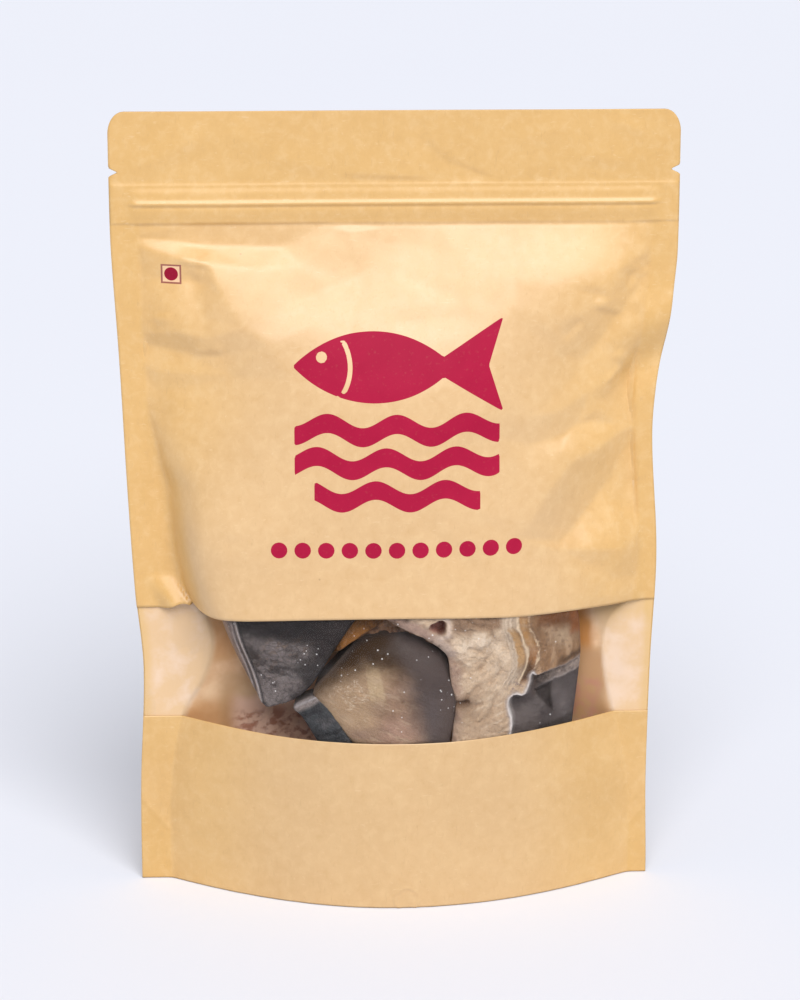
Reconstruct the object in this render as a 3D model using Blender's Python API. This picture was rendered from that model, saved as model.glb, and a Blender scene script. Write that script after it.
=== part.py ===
"""Dried shark in a sealed kraft-paper stand-up pouch with a clear window band.

The pouch stands upright on its spread gusset, its front towards -Y, with the
origin in the middle of the base. Both panels are flat and sealed together in
the header, stay joined in a flat fin down each side, and bulge between the
fins over the contents. A window band crosses the whole front: there the paper
is missing, a clear film carries the panel, and a bay behind the film holds the
pieces of dried shark that can be seen. Units are metres.
"""
import math

import bmesh
import bpy
import numpy as np

# ---- driving dimensions of the pouch ----
HEIGHT = 0.230
FIN_WIDTH = 0.0080
FIN_HALF = 0.0007
CORNER_RADIUS = 0.0060
NOTCH_Z = 0.2130
NOTCH_DEPTH = 0.0027
NOTCH_HALF = 0.0013
RIDGE_Z = 0.2033
RIDGE_PROUD = 0.0009
RIDGE_SPREAD = 0.0011
LENS_POWER = 1.08

# side edges of the pouch from the floor up: (height, distance from the middle)
LEFT_EDGE = ((0.0, 0.0752), (0.03, 0.0749), (0.066, 0.0734), (0.09, 0.0753), (0.12, 0.0768),
             (0.16, 0.0783), (0.19, 0.0798), (0.20, 0.0800), (HEIGHT, 0.0800))
RIGHT_EDGE = ((0.0, 0.0750), (0.03, 0.0744), (0.066, 0.0749), (0.10, 0.0760), (0.135, 0.0740),
              (0.15, 0.0748), (0.165, 0.0774), (0.18, 0.0792), (0.19, 0.0800), (HEIGHT, 0.0800))
# how far each panel bulges in the middle: (height, bulge)
BULGE = ((0.0, 0.0245), (0.06, 0.0255), (0.10, 0.0228), (0.13, 0.0220), (0.15, 0.0197), (0.165, 0.0150),
         (0.18, 0.0085), (0.19, 0.0038), (0.20, 0.0006), (HEIGHT, 0.0))

# folds pressed into the front panel: (x0, z0, x1, z1, spread, depth)
FOLDS = ((-0.066, 0.141, -0.058, 0.090, 0.0042, 0.0016),
         (0.064, 0.136, 0.048, 0.106, 0.0050, 0.0014),
         (0.048, 0.105, 0.074, 0.103, 0.0040, 0.0012),
         (0.070, 0.190, 0.056, 0.172, 0.0060, 0.0015),
         (-0.070, 0.192, -0.048, 0.187, 0.0045, 0.0010))

# ---- window band ----
WINDOW_LOW = 0.0512
WINDOW_TOP = 0.0885
WINDOW_SIDE_DROP = 0.0027
FILM_THICKNESS = 0.00035
GAP = 0.0003
BAY_DEPTH = 0.0150

SIDE_COLUMNS = 30
BODY_ROWS = 28


def at(table, z):
    """Value of a (height, value) table at height z, eased between its stations."""
    heights = [row[0] for row in table]
    values = [row[1] for row in table]
    i = int(np.clip(np.searchsorted(heights, z) - 1, 0, len(heights) - 2))
    t = (z - heights[i]) / (heights[i + 1] - heights[i])
    t = min(max(t, 0.0), 1.0)
    slope = [0.0] * len(heights)
    for k in range(1, len(heights) - 1):
        slope[k] = (values[k + 1] - values[k - 1]) / (heights[k + 1] - heights[k - 1])
    span = heights[i + 1] - heights[i]
    h00 = 2 * t**3 - 3 * t**2 + 1
    h10 = t**3 - 2 * t**2 + t
    h01 = -2 * t**3 + 3 * t**2
    h11 = t**3 - t**2
    return h00 * values[i] + h10 * span * slope[i] + h01 * values[i + 1] + h11 * span * slope[i + 1]


def inset_at(z):
    """How far the side edge steps in at height z: the rounded top corner and the tear notch."""
    above = z - (HEIGHT - CORNER_RADIUS)
    corner = CORNER_RADIUS - math.sqrt(max(CORNER_RADIUS**2 - above**2, 0.0)) if above > 0 else 0.0
    notch = NOTCH_DEPTH * max(0.0, 1.0 - abs(z - NOTCH_Z) / NOTCH_HALF)
    return corner + notch


def bulge_at(x, z):
    """Bulge of one panel at (x, z): a lens between the two fins."""
    inner_left = -(at(LEFT_EDGE, z) - FIN_WIDTH)
    inner_right = at(RIGHT_EDGE, z) - FIN_WIDTH
    middle = (inner_left + inner_right) / 2
    u = min(abs(x - middle) / ((inner_right - inner_left) / 2), 1.0)
    return max(at(BULGE, z), 0.0) * (1 - u * u) ** LENS_POWER


def fold_at(x, z):
    """Depth of the pressed folds at (x, z)."""
    total = 0.0
    for x0, z0, x1, z1, spread, depth in FOLDS:
        length2 = (x1 - x0) ** 2 + (z1 - z0) ** 2
        t = min(max(((x - x0) * (x1 - x0) + (z - z0) * (z1 - z0)) / length2, 0.0), 1.0)
        distance2 = (x - x0 - t * (x1 - x0)) ** 2 + (z - z0 - t * (z1 - z0)) ** 2
        total += depth * math.exp(-distance2 / spread**2)
    return total


def ridge_at(x, z):
    """Height of the zip's ridge, which fades out at the side seals."""
    ends = min(max((0.0735 - abs(x)) / 0.003, 0.0), 1.0)
    return RIDGE_PROUD * ends * math.exp(-(((z - RIDGE_Z) / RIDGE_SPREAD) ** 2))


def front_y(x, z):
    """Outer face of the front panel."""
    bulge = bulge_at(x, z)
    return -(FIN_HALF + bulge + ridge_at(x, z) - min(fold_at(x, z), 0.4 * bulge))


def back_y(x, z):
    """Outer face of the back panel."""
    return FIN_HALF + bulge_at(x, z) + ridge_at(x, z)


def columns_at(z):
    """X of each grid column at height z: fin, panel, fin."""
    left = -at(LEFT_EDGE, z)
    right = at(RIGHT_EDGE, z)
    edge_left = left + inset_at(z)
    edge_right = right - inset_at(z)
    inner_left = left + FIN_WIDTH
    inner_right = right - FIN_WIDTH
    panel = [inner_left + (inner_right - inner_left) * k / SIDE_COLUMNS for k in range(SIDE_COLUMNS + 1)]
    fin_left = [edge_left, (edge_left + inner_left) / 2]
    fin_right = [(edge_right + inner_right) / 2, edge_right]
    return fin_left + panel + fin_right


def rows_of_pouch():
    """Heights of the grid rows, closer together at the zip, the notches and the corners."""
    body = [0.197 * k / BODY_ROWS for k in range(BODY_ROWS + 1)]
    ridge = [RIDGE_Z + RIDGE_SPREAD * s for s in (-2.2, -1.1, -0.45, 0.45, 1.1, 2.2)]
    notch = [NOTCH_Z - NOTCH_HALF, NOTCH_Z, NOTCH_Z + NOTCH_HALF]
    corner = [HEIGHT - CORNER_RADIUS * (1 - math.sin(a * math.pi / 10)) for a in range(6)]
    return body + ridge + notch + [0.2185] + corner


def material(name, color, roughness):
    made = bpy.data.materials.new(name)
    made.use_nodes = True
    shader = made.node_tree.nodes["Principled BSDF"]
    shader.inputs["Base Color"].default_value = (*color, 1.0)
    shader.inputs["Roughness"].default_value = roughness
    shader.inputs["Metallic"].default_value = 0.0
    return made


def add_object(name, bm, made):
    """Turns a bmesh into an object with its normals facing out."""
    bmesh.ops.recalc_face_normals(bm, faces=bm.faces)
    mesh = bpy.data.meshes.new(name)
    bm.to_mesh(mesh)
    bm.free()
    if made:
        mesh.materials.append(made)
    mesh.shade_smooth()
    mesh.set_sharp_from_angle(angle=math.radians(35))
    obj = bpy.data.objects.new(name, mesh)
    bpy.context.scene.collection.objects.link(obj)
    return obj


def sheet_pair(front, back):
    """A closed body between two grids of points with the same rows and columns."""
    bm = bmesh.new()
    near = [[bm.verts.new(p) for p in row] for row in front]
    far = [[bm.verts.new(p) for p in row] for row in back]
    rows = len(near)
    cols = len(near[0])
    for i in range(rows - 1):
        for j in range(cols - 1):
            bm.faces.new((near[i][j], near[i][j + 1], near[i + 1][j + 1], near[i + 1][j]))
            bm.faces.new((far[i][j], far[i + 1][j], far[i + 1][j + 1], far[i][j + 1]))
    for j in range(cols - 1):
        bm.faces.new((near[0][j], far[0][j], far[0][j + 1], near[0][j + 1]))
        bm.faces.new((near[-1][j], near[-1][j + 1], far[-1][j + 1], far[-1][j]))
    for i in range(rows - 1):
        bm.faces.new((near[i][0], near[i + 1][0], far[i + 1][0], far[i][0]))
        bm.faces.new((near[i][-1], far[i][-1], far[i + 1][-1], near[i + 1][-1]))
    return bm


def window_top(x):
    """Upper edge of the window, which drops a little towards the fins."""
    return WINDOW_TOP - WINDOW_SIDE_DROP * min(abs(x) / 0.066, 1.0) ** 2


def bay_depth(x, z):
    """Depth of the bay behind the rebate of the film, closing towards the fins."""
    share = bulge_at(x, z) / at(BULGE, z)
    return BAY_DEPTH * min(share * 1.9, 1.0) ** 0.8


def floor_y(x, z):
    """Back wall of the bay, or of the film's rebate where the panels are sealed."""
    return front_y(x, z) + FILM_THICKNESS + GAP + bay_depth(x, z)


# ---- clear the scene ----
for old in list(bpy.data.objects):
    bpy.data.objects.remove(old, do_unlink=True)

kraft = material("kraft_paper", (0.80, 0.56, 0.28), 0.62)
film_clear = material("clear_film", (0.92, 0.90, 0.86), 0.18)
skin_dark = material("shark_skin", (0.09, 0.075, 0.072), 0.50)
flesh_tan = material("shark_flesh", (0.33, 0.22, 0.14), 0.55)
flesh_cream = material("shark_flesh_pale", (0.52, 0.40, 0.29), 0.60)
flesh_orange = material("shark_flesh_orange", (0.40, 0.20, 0.08), 0.50)

# ---- pouch: both panels with what they enclose, one solid ----
heights = rows_of_pouch()
front_grid = [[(x, front_y(x, z), z) for x in columns_at(z)] for z in heights]
back_grid = [[(x, back_y(x, z), z) for x in columns_at(z)] for z in heights]
pouch = add_object("kraft_pouch", sheet_pair(front_grid, back_grid), kraft)

# ---- cutter for the window bay, open to the front and past both edges ----
CUT_ROWS = 7
cut_front = []
cut_back = []
for i in range(CUT_ROWS + 1):
    front_row = []
    back_row = []
    z_mid = WINDOW_LOW + (WINDOW_TOP - WINDOW_LOW) * i / CUT_ROWS
    xs = columns_at(z_mid)
    xs[0] -= 0.004
    xs[-1] += 0.004
    for x in xs:
        z = WINDOW_LOW + (window_top(x) - WINDOW_LOW) * i / CUT_ROWS
        front_row.append((x, -0.045, z))
        back_row.append((x, floor_y(x, z), z))
    cut_front.append(front_row)
    cut_back.append(back_row)
bay = add_object("bay_cutter", sheet_pair(cut_front, cut_back), None)
bay.hide_render = True
bay.display_type = "WIRE"
cut = pouch.modifiers.new("window_bay", "BOOLEAN")
cut.operation = "DIFFERENCE"
cut.solver = "EXACT"
cut.object = bay

# ---- window film: a thin curved sheet in the rebate, from edge to edge ----
FILM_ROWS = 6
film_front = []
film_back = []
for i in range(FILM_ROWS + 1):
    front_row = []
    back_row = []
    z_mid = WINDOW_LOW + (WINDOW_TOP - WINDOW_LOW) * i / FILM_ROWS
    for x in columns_at(z_mid):
        low = WINDOW_LOW + GAP
        z = low + (window_top(x) - GAP - low) * i / FILM_ROWS
        front_row.append((x, front_y(x, z), z))
        back_row.append((x, front_y(x, z) + FILM_THICKNESS, z))
    film_front.append(front_row)
    film_back.append(back_row)
add_object("window_film", sheet_pair(film_front, film_back), film_clear)


def rounded(corners, cuts=2):
    """Closed outline through a corner-cutting rule, which rounds every corner."""
    points = list(corners)
    for _ in range(cuts):
        shorter = []
        for k, (x0, z0) in enumerate(points):
            x1, z1 = points[(k + 1) % len(points)]
            shorter.append((x0 + 0.20 * (x1 - x0), z0 + 0.20 * (z1 - z0)))
            shorter.append((x0 + 0.80 * (x1 - x0), z0 + 0.80 * (z1 - z0)))
        points = shorter
    return points


def even(outline, count):
    """The outline again with evenly spaced points."""
    closed = np.array(outline + [outline[0]])
    steps = np.hypot(*np.diff(closed, axis=0).T)
    travelled = np.concatenate([[0.0], np.cumsum(steps)])
    marks = np.linspace(0.0, travelled[-1], count, endpoint=False)
    xs = np.interp(marks, travelled, closed[:, 0])
    zs = np.interp(marks, travelled, closed[:, 1])
    return list(zip(xs, zs))


def chunk(name, corners, made, lump, phase, count=26, set_back=0.0):
    """A cut piece lying against the film: domed front, rounded sides, flatter back."""
    outline = even(rounded(corners), count)
    centre = np.mean(np.array(outline), axis=0)
    # share of the outline, share of the depth from the front
    rings = ((0.45, 0.0), (0.78, 0.03), (0.94, 0.14), (1.0, 0.34), (1.0, 0.70), (0.90, 0.93), (0.55, 1.0))
    bm = bmesh.new()

    def point(x, z, share, depth_share):
        near = front_y(x, z) + FILM_THICKNESS + GAP + 0.0002 + set_back
        far = floor_y(x, z) - GAP - 0.0001
        far = max(far, near + 0.0006)
        wave = 0.5 + 0.5 * math.sin(620 * x + phase) * math.sin(540 * z + 1.7 * phase)
        dent = lump * wave * (1.0 - depth_share) * min(1.0, (far - near) / 0.006)
        depth = depth_share * (far - near) + dent * (1 - depth_share)
        return (x, near + min(depth, far - near - 0.0002 * (1 - share)), z)

    loops = []
    for share, depth_share in rings:
        loop = []
        for x, z in outline:
            px = centre[0] + share * (x - centre[0])
            pz = centre[1] + share * (z - centre[1])
            loop.append(bm.verts.new(point(px, pz, share, depth_share)))
        loops.append(loop)
    for near_loop, far_loop in zip(loops, loops[1:]):
        for k in range(count):
            n = (k + 1) % count
            bm.faces.new((near_loop[k], near_loop[n], far_loop[n], far_loop[k]))
    front_cap = bm.verts.new(point(centre[0], centre[1], 0.0, 0.0))
    back_cap = bm.verts.new(point(centre[0], centre[1], 0.0, 1.0))
    for k in range(count):
        n = (k + 1) % count
        bm.faces.new((front_cap, loops[0][n], loops[0][k]))
        bm.faces.new((back_cap, loops[-1][k], loops[-1][n]))
    return add_object(name, bm, made)


def mm(*pairs):
    return [(x / 1000, z / 1000) for x, z in pairs]


# ---- pieces of dried shark seen in the window, as (x, z) corners in millimetres ----
LOW = WINDOW_LOW * 1000 + 0.5
chunk("shark_piece_left", mm((-49, 85.5), (-13.5, 87.4), (-20.2, 77), (-25.6, 67), (-30, 62.5), (-38, 60)),
      skin_dark, 0.0012, 0.4)
chunk("shark_piece_sliver", mm((-11.6, 87.6), (-1.2, 87.8), (-6.2, 84.8), (-12.2, 81.8), (-17.6, 78), (-15.6, 82.8)),
      flesh_orange, 0.0006, 1.1, count=20)
chunk("shark_piece_centre", mm((-24, 66), (-16.6, 75.2), (-11.5, 80.0), (-5, 82.9), (3, 82.6), (10.2, 79.3),
                               (14.2, 76.2), (14.9, 69.5), (16.7, 62.6), (14.7, LOW), (-11.6, LOW), (-21.8, 63.6)),
      flesh_tan, 0.0010, 2.3, count=32)
chunk("shark_piece_behind", mm((0.2, 87.8), (4.0, 87.8), (9.6, 81.6), (4.6, 83.9), (0.2, 84.4)),
      skin_dark, 0.0004, 0.2, count=16, set_back=0.004)
chunk("shark_piece_low", mm((-28, 61), (-23.9, 62.6), (-13.4, LOW), (-22.5, LOW)),
      skin_dark, 0.0004, 2.0, count=18)
chunk("shark_piece_right", mm((5.4, 87.8), (11.4, 80.6), (15.6, 77.2), (16.4, 69.3), (18.5, 62.6), (16.4, LOW),
                              (33.6, LOW), (50.4, LOW + 0.5), (52.9, 71), (52.2, 85.2), (30, 87.0)),
      flesh_cream, 0.0016, 3.1, count=36)
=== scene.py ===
import math

import bpy
import numpy as np
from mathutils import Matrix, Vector
from mathutils.geometry import delaunay_2d_cdt


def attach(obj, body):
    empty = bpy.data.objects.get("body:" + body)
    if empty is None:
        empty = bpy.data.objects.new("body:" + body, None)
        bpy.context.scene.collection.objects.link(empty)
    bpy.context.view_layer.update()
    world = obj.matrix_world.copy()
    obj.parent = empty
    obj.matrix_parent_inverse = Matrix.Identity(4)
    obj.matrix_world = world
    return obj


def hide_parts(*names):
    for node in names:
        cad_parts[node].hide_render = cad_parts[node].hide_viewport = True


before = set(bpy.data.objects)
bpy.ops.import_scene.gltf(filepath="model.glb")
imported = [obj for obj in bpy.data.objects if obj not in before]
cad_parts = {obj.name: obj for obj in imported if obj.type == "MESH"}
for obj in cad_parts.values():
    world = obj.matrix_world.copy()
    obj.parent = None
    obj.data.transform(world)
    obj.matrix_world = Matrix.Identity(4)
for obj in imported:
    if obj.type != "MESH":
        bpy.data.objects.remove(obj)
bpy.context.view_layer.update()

# ==== Camera, floor and light ====
# A white studio sweep: one pale floor that runs out of view, one broad lamp
# high in front, and an even pale sky that fills the shadows.
CAMERA_PLACE = (-0.02935, -0.91376, 0.39451)
CAMERA_DOWN = math.radians(17.0)
CAMERA_TURN = math.radians(1.84)
SENSOR_HEIGHT = 36.0
# in pixels: the focal length, the frame and where the lens axis meets it
FOCAL_PIXELS = 3314.0
FRAME_WIDTH, FRAME_HEIGHT = 800, 1000
LENS_AXIS_X, LENS_AXIS_Y = 394.8, 505.4

LAMP_TILT, LAMP_TURN = math.radians(43), math.radians(8)
LAMP_SPREAD = math.radians(44)
FLOOR_HALF, FLOOR_Z = 16.0, -0.0002

camera_data = bpy.data.cameras.new("camera")
camera_data.sensor_fit = "VERTICAL"
camera_data.sensor_height = SENSOR_HEIGHT
camera_data.lens = FOCAL_PIXELS / FRAME_HEIGHT * SENSOR_HEIGHT
camera_data.shift_x = (FRAME_WIDTH / 2 - LENS_AXIS_X) / FRAME_HEIGHT
camera_data.shift_y = (LENS_AXIS_Y - FRAME_HEIGHT / 2) / FRAME_HEIGHT
camera_data.clip_start = 0.01
camera = bpy.data.objects.new("camera", camera_data)
camera.location = CAMERA_PLACE
camera.rotation_euler = (math.pi / 2 - CAMERA_DOWN, 0.0, -CAMERA_TURN)
bpy.context.scene.collection.objects.link(camera)
bpy.context.scene.camera = camera

world = bpy.data.worlds.new("studio")
world.use_nodes = True
world.node_tree.nodes["Background"].inputs["Color"].default_value = (0.91, 0.935, 1.0, 1.0)
world.node_tree.nodes["Background"].inputs["Strength"].default_value = 0.47
bpy.context.scene.world = world

lamp_data = bpy.data.lights.new("softbox", "SUN")
lamp_data.energy = 2.82
lamp_data.angle = LAMP_SPREAD
lamp_data.color = (1.0, 0.985, 0.975)
lamp = bpy.data.objects.new("softbox", lamp_data)
lamp.rotation_euler = (LAMP_TILT, 0.0, LAMP_TURN)
bpy.context.scene.collection.objects.link(lamp)

bpy.context.scene.view_settings.view_transform = "Standard"


def plug(tree, socket, value):
    """Links a wire to a socket, or sets the socket's own value."""
    if isinstance(value, Wire):
        tree.links.new(value.socket, socket)
    elif isinstance(value, (tuple, list)) and socket.type == "RGBA":
        socket.default_value = (*value[:3], 1.0)
    else:
        socket.default_value = value


class Wire:
    """An output socket. Arithmetic on wires and numbers adds Math nodes."""

    def __init__(self, tree, socket):
        self.tree = tree
        self.socket = socket

    def math(self, operation, *others):
        return self.combine(operation, self, *others)

    def combine(self, operation, *values):
        node = self.tree.nodes.new("ShaderNodeMath")
        node.operation = operation
        for socket, value in zip(node.inputs, values):
            plug(self.tree, socket, value)
        return Wire(self.tree, node.outputs[0])

    def __add__(self, other):
        return self.combine("ADD", self, other)

    def __radd__(self, other):
        return self.combine("ADD", other, self)

    def __sub__(self, other):
        return self.combine("SUBTRACT", self, other)

    def __rsub__(self, other):
        return self.combine("SUBTRACT", other, self)

    def __mul__(self, other):
        return self.combine("MULTIPLY", self, other)

    def __rmul__(self, other):
        return self.combine("MULTIPLY", other, self)


class Finish:
    """A Principled material with a short way to add nodes to it."""

    def __init__(self, name, fixed):
        self.material = bpy.data.materials.new(name)
        self.material.use_nodes = True
        self.tree = self.material.node_tree
        self.shader = self.tree.nodes["Principled BSDF"]
        for socket, value in fixed.items():
            plug(self.tree, self.shader.inputs[socket], value)

    def add(self, kind, settings=None, values=None, output=0):
        """A node of this type: its settings first, then its sockets; gives one output."""
        node = self.tree.nodes.new(kind)
        for name, value in (settings or {}).items():
            setattr(node, name, value)
        for socket, value in (values or {}).items():
            plug(self.tree, node.inputs[socket], value)
        return Wire(self.tree, node.outputs[output])

    def coords(self):
        return self.add("ShaderNodeTexCoord", output="Object")

    def stretched(self, vector, scale, turn=(0.0, 0.0, 0.0)):
        return self.add("ShaderNodeMapping", None, {"Vector": vector, "Scale": scale, "Rotation": turn})

    def noise(self, vector, scale, detail=2.0, roughness=0.5, distortion=0.0):
        return self.add("ShaderNodeTexNoise", None,
                        {"Vector": vector, "Scale": scale, "Detail": detail,
                         "Roughness": roughness, "Distortion": distortion})

    def step(self, value, low, high, to_low=0.0, to_high=1.0):
        return self.add("ShaderNodeMapRange", {"interpolation_type": "SMOOTHSTEP"},
                        {"Value": value, "From Min": low, "From Max": high,
                         "To Min": to_low, "To Max": to_high})

    def mix(self, factor, first, second, blend="MIX"):
        return self.add("ShaderNodeMix", {"data_type": "RGBA", "blend_type": blend},
                        {0: factor, 6: first, 7: second}, output=2)

    def layered(self, colour, *layers):
        """A colour with others mixed over it in turn, each given as (share, colour)."""
        for share, over in layers:
            colour = self.mix(share, colour, over)
        return colour

    def attribute(self, name, output="Fac"):
        return self.add("ShaderNodeAttribute", {"attribute_name": name}, output=output)

    def bump(self, height, distance, strength):
        normal = self.add("ShaderNodeBump", None,
                          {"Height": height, "Distance": distance, "Strength": strength})
        plug(self.tree, self.shader.inputs["Normal"], normal)

    def wire(self, socket, value):
        plug(self.tree, self.shader.inputs[socket], value)

    def coat(self, share, fixed, colour):
        """A second finish laid over the first wherever share is 1, such as printing ink."""
        over = self.tree.nodes.new("ShaderNodeBsdfPrincipled")
        for socket, value in fixed.items():
            plug(self.tree, over.inputs[socket], value)
        plug(self.tree, over.inputs["Base Color"], colour)
        mixed = self.tree.nodes.new("ShaderNodeMixShader")
        plug(self.tree, mixed.inputs[0], share)
        self.tree.links.new(self.shader.outputs[0], mixed.inputs[1])
        self.tree.links.new(over.outputs[0], mixed.inputs[2])
        self.tree.links.new(mixed.outputs[0], self.tree.nodes["Material Output"].inputs["Surface"])


def grid_mesh(name, points, finish, floats=None, colours=None):
    """A surface from a (rows, columns, 3) array of points, one quad between each four neighbours.
    Rows run up and columns run to the right, so the faces look towards the viewer at -Y."""
    rows, cols = points.shape[:2]
    index = np.arange(rows * cols).reshape(rows, cols)
    quads = np.stack([index[:-1, :-1], index[:-1, 1:], index[1:, 1:], index[1:, :-1]], -1).reshape(-1, 4)
    mesh = bpy.data.meshes.new(name)
    mesh.from_pydata(points.reshape(-1, 3).tolist(), [], quads.tolist())
    for label, values in (floats or {}).items():
        layer = mesh.attributes.new(label, "FLOAT", "POINT")
        layer.data.foreach_set("value", values.astype(np.float32).ravel())
    for label, values in (colours or {}).items():
        rgba = np.concatenate([values.reshape(-1, 3), np.ones((rows * cols, 1))], 1)
        layer = mesh.attributes.new(label, "FLOAT_COLOR", "POINT")
        layer.data.foreach_set("color", rgba.astype(np.float32).ravel())
    mesh.materials.append(finish.material)
    mesh.shade_smooth()
    obj = bpy.data.objects.new(name, mesh)
    bpy.context.scene.collection.objects.link(obj)
    return obj


floor_finish = Finish("studio_floor", {"Base Color": (0.80, 0.818, 0.88), "Roughness": 0.75,
                                       "Specular IOR Level": 0.1})
floor_cloud = floor_finish.noise(floor_finish.coords(), 1.5)
floor_finish.wire("Base Color", floor_finish.mix(floor_cloud, (0.795, 0.815, 0.88), (0.815, 0.830, 0.89)))
floor_side = np.linspace(-FLOOR_HALF, FLOOR_HALF, 4)
floor_points = np.stack(np.broadcast_arrays(floor_side[None, :], floor_side[:, None], FLOOR_Z), -1)
floor = grid_mesh("studio_floor", floor_points, floor_finish)

# ==== Front of the pouch: upper and lower paper panels ====
# Brown kraft paper laminated to a thin film, printed in crimson before it was
# made up. The window was cut out as a band, so the front is two paper panels
# that the film joins. Sides, header and base corners are heat sealed, and
# handling has left folds and dents where the bag bends.
HEIGHT = 0.230
PAPER = 0.00022
HALF_SEAL = 0.00030
CORNER_HEIGHT, CORNER_WIDTH = 0.0063, 0.0046
NOTCH_Z, NOTCH_DEPTH, NOTCH_HALF = 0.2130, 0.0027, 0.0013
FIN_FADE = 0.0080
HEADER_LOW = 0.1980
ZIP_STOP_OUTER, ZIP_STOP_INNER = 0.0755, 0.0722
SCORE_LOW, SCORE_HIGH = 0.2086, 0.2089
WINDOW_LOW = 0.0512
WINDOW_TOP = 0.0885
WINDOW_SIDE_DROP = 0.0027
LENS_POWER = 1.06
ZIP_POWER = 0.62

# (height, distance from the middle) of the side edges, as in the solids
LEFT_EDGE = ((0.0, 0.0752), (0.03, 0.0749), (0.066, 0.0734), (0.09, 0.0753), (0.12, 0.0768),
             (0.16, 0.0783), (0.19, 0.0798), (0.20, 0.0800), (HEIGHT, 0.0800))
RIGHT_EDGE = ((0.0, 0.0750), (0.03, 0.0744), (0.066, 0.0749), (0.10, 0.0760), (0.135, 0.0740),
              (0.15, 0.0748), (0.165, 0.0774), (0.18, 0.0792), (0.19, 0.0800), (HEIGHT, 0.0800))
# where each panel lifts off the flat side strip
LEFT_LIFT = ((0.0, 0.0664), (0.015, 0.0667), (0.03, 0.0660), (0.045, 0.0640), (0.053, 0.0618),
             (0.063, 0.0562), (0.073, 0.0536), (0.081, 0.0552), (0.0875, 0.0592), (0.10, 0.0626),
             (0.112, 0.0641), (0.123, 0.0650), (0.13, 0.0673), (0.141, 0.0700), (0.16, 0.0712),
             (0.20, 0.0718))
RIGHT_LIFT = ((0.0, 0.0695), (0.025, 0.0692), (0.045, 0.0660), (0.06, 0.0625), (0.073, 0.0612),
              (0.080, 0.0630), (0.0870, 0.0690), (0.10, 0.0705), (0.135, 0.0685), (0.15, 0.0680),
              (0.165, 0.0700), (0.18, 0.0715), (0.20, 0.0722))
# share of the full bulge across the window's upper edge, against the share of the way to the
# lift line: a steep left wall and a long right slope
WINDOW_PROFILE = (
    (-1.35, 0.0), (-1.04, 0.0), (-1.0, 0.07), (-0.971, 0.28), (-0.9375, 0.49), (-0.895, 0.67),
    (-0.845, 0.78), (-0.76, 0.865), (-0.608, 0.925), (-0.456, 0.955), (-0.22, 0.985), (0.01, 1.0),
    (0.217, 0.99), (0.377, 0.94), (0.493, 0.872), (0.594, 0.755), (0.681, 0.62), (0.768, 0.48),
    (0.855, 0.34), (0.928, 0.21), (0.978, 0.11), (1.03, 0.03), (1.09, 0.0), (1.35, 0.0))
BULGE = ((0.0, 0.0245), (0.06, 0.0255), (0.10, 0.0228), (0.13, 0.0220), (0.15, 0.0197), (0.165, 0.0150),
         (0.18, 0.0085), (0.19, 0.0038), (0.1972, 0.0006), (0.1990, 0.0), (HEIGHT, 0.0))
# how far the zip band stands proud: groove, press rib, and the score line above
ZIP = ((0.1965, 0.0), (0.1978, 0.0), (0.1985, 0.00042), (0.1996, 0.00060), (0.2012, 0.00086),
       (0.2024, 0.00094), (0.2031, 0.00086), (0.2038, 0.00138), (0.2043, 0.00141), (0.2049, 0.00100),
       (0.2057, 0.00080), (0.2071, 0.00065), (0.2086, 0.00028), (0.2091, 0.00028), (0.2098, 0.00007),
       (0.2110, 0.0), (HEIGHT, 0.0))


def eased(stations, z):
    """Smooth curve through (height, value) stations: cubics between neighbours, each station's
    slope being that of the line through the two stations beside it."""
    at, value = np.array(stations, float).T
    slope = np.zeros_like(value)
    slope[1:-1] = (value[2:] - value[:-2]) / (at[2:] - at[:-2])
    z = np.clip(z, at[0], at[-1])
    i = np.clip(np.searchsorted(at, z) - 1, 0, len(at) - 2)
    span = at[i + 1] - at[i]
    t = (z - at[i]) / span
    return ((2 * t**3 - 3 * t**2 + 1) * value[i] + (t**3 - 2 * t**2 + t) * span * slope[i]
            + (3 * t**2 - 2 * t**3) * value[i + 1] + (t**3 - t**2) * span * slope[i + 1])


def on_side(x, z, left, right):
    """Value at z on the left side's curve where x is below 0, and on the right side's elsewhere."""
    return np.where(x < 0, eased(left, z), eased(right, z))


def smooth(low, high, value):
    """0 below low, 1 above high, and a smooth S between."""
    t = np.clip((value - low) / (high - low), 0.0, 1.0)
    return t * t * (3 - 2 * t)


def lens(x, z):
    """1 in the middle of the panel, falling to 0 where it lifts off the side strips. Towards the
    window's upper edge it turns into that edge's own profile."""
    u = x / on_side(x, z, LEFT_LIFT, RIGHT_LIFT)
    power = LENS_POWER + (ZIP_POWER - LENS_POWER) * smooth(0.152, 0.186, z)
    oval = np.maximum(1 - np.clip(np.abs(u), 0.0, 1.0) ** 2, 1e-9) ** power
    at_edge = np.clip(eased(WINDOW_PROFILE, u), 0, 1)
    fade = np.where(x < 0, smooth(0.156, 0.104, z), smooth(0.140, 0.096, z))
    return oval + (at_edge - oval) * smooth(0.060, 0.086, z) * fade


def crease(x, z, fold):
    """A folded line from one end to the other: a tent whose two flanks have their own widths,
    highest along the line and fading at both ends. The fold gives both ends, the widths of the
    left and the right flank, and the rise, in millimetres."""
    x0, z0, x1, z1, left, right, rise = fold
    length = math.hypot(x1 - x0, z1 - z0)
    dx, dz = (x1 - x0) / length, (z1 - z0) / length
    along = ((x - x0) * dx + (z - z0) * dz) / length
    sideways = (z - z0) * dx - (x - x0) * dz
    width = np.where(sideways > 0, left, right)
    tent = np.clip(1 - (np.sqrt(sideways**2 + 0.09) - 0.3) / width, 0, 1) ** 1.25
    ends = smooth(-0.18, 0.22, along) * smooth(-0.18, 0.22, 1 - along)
    return rise * tent * ends


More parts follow.
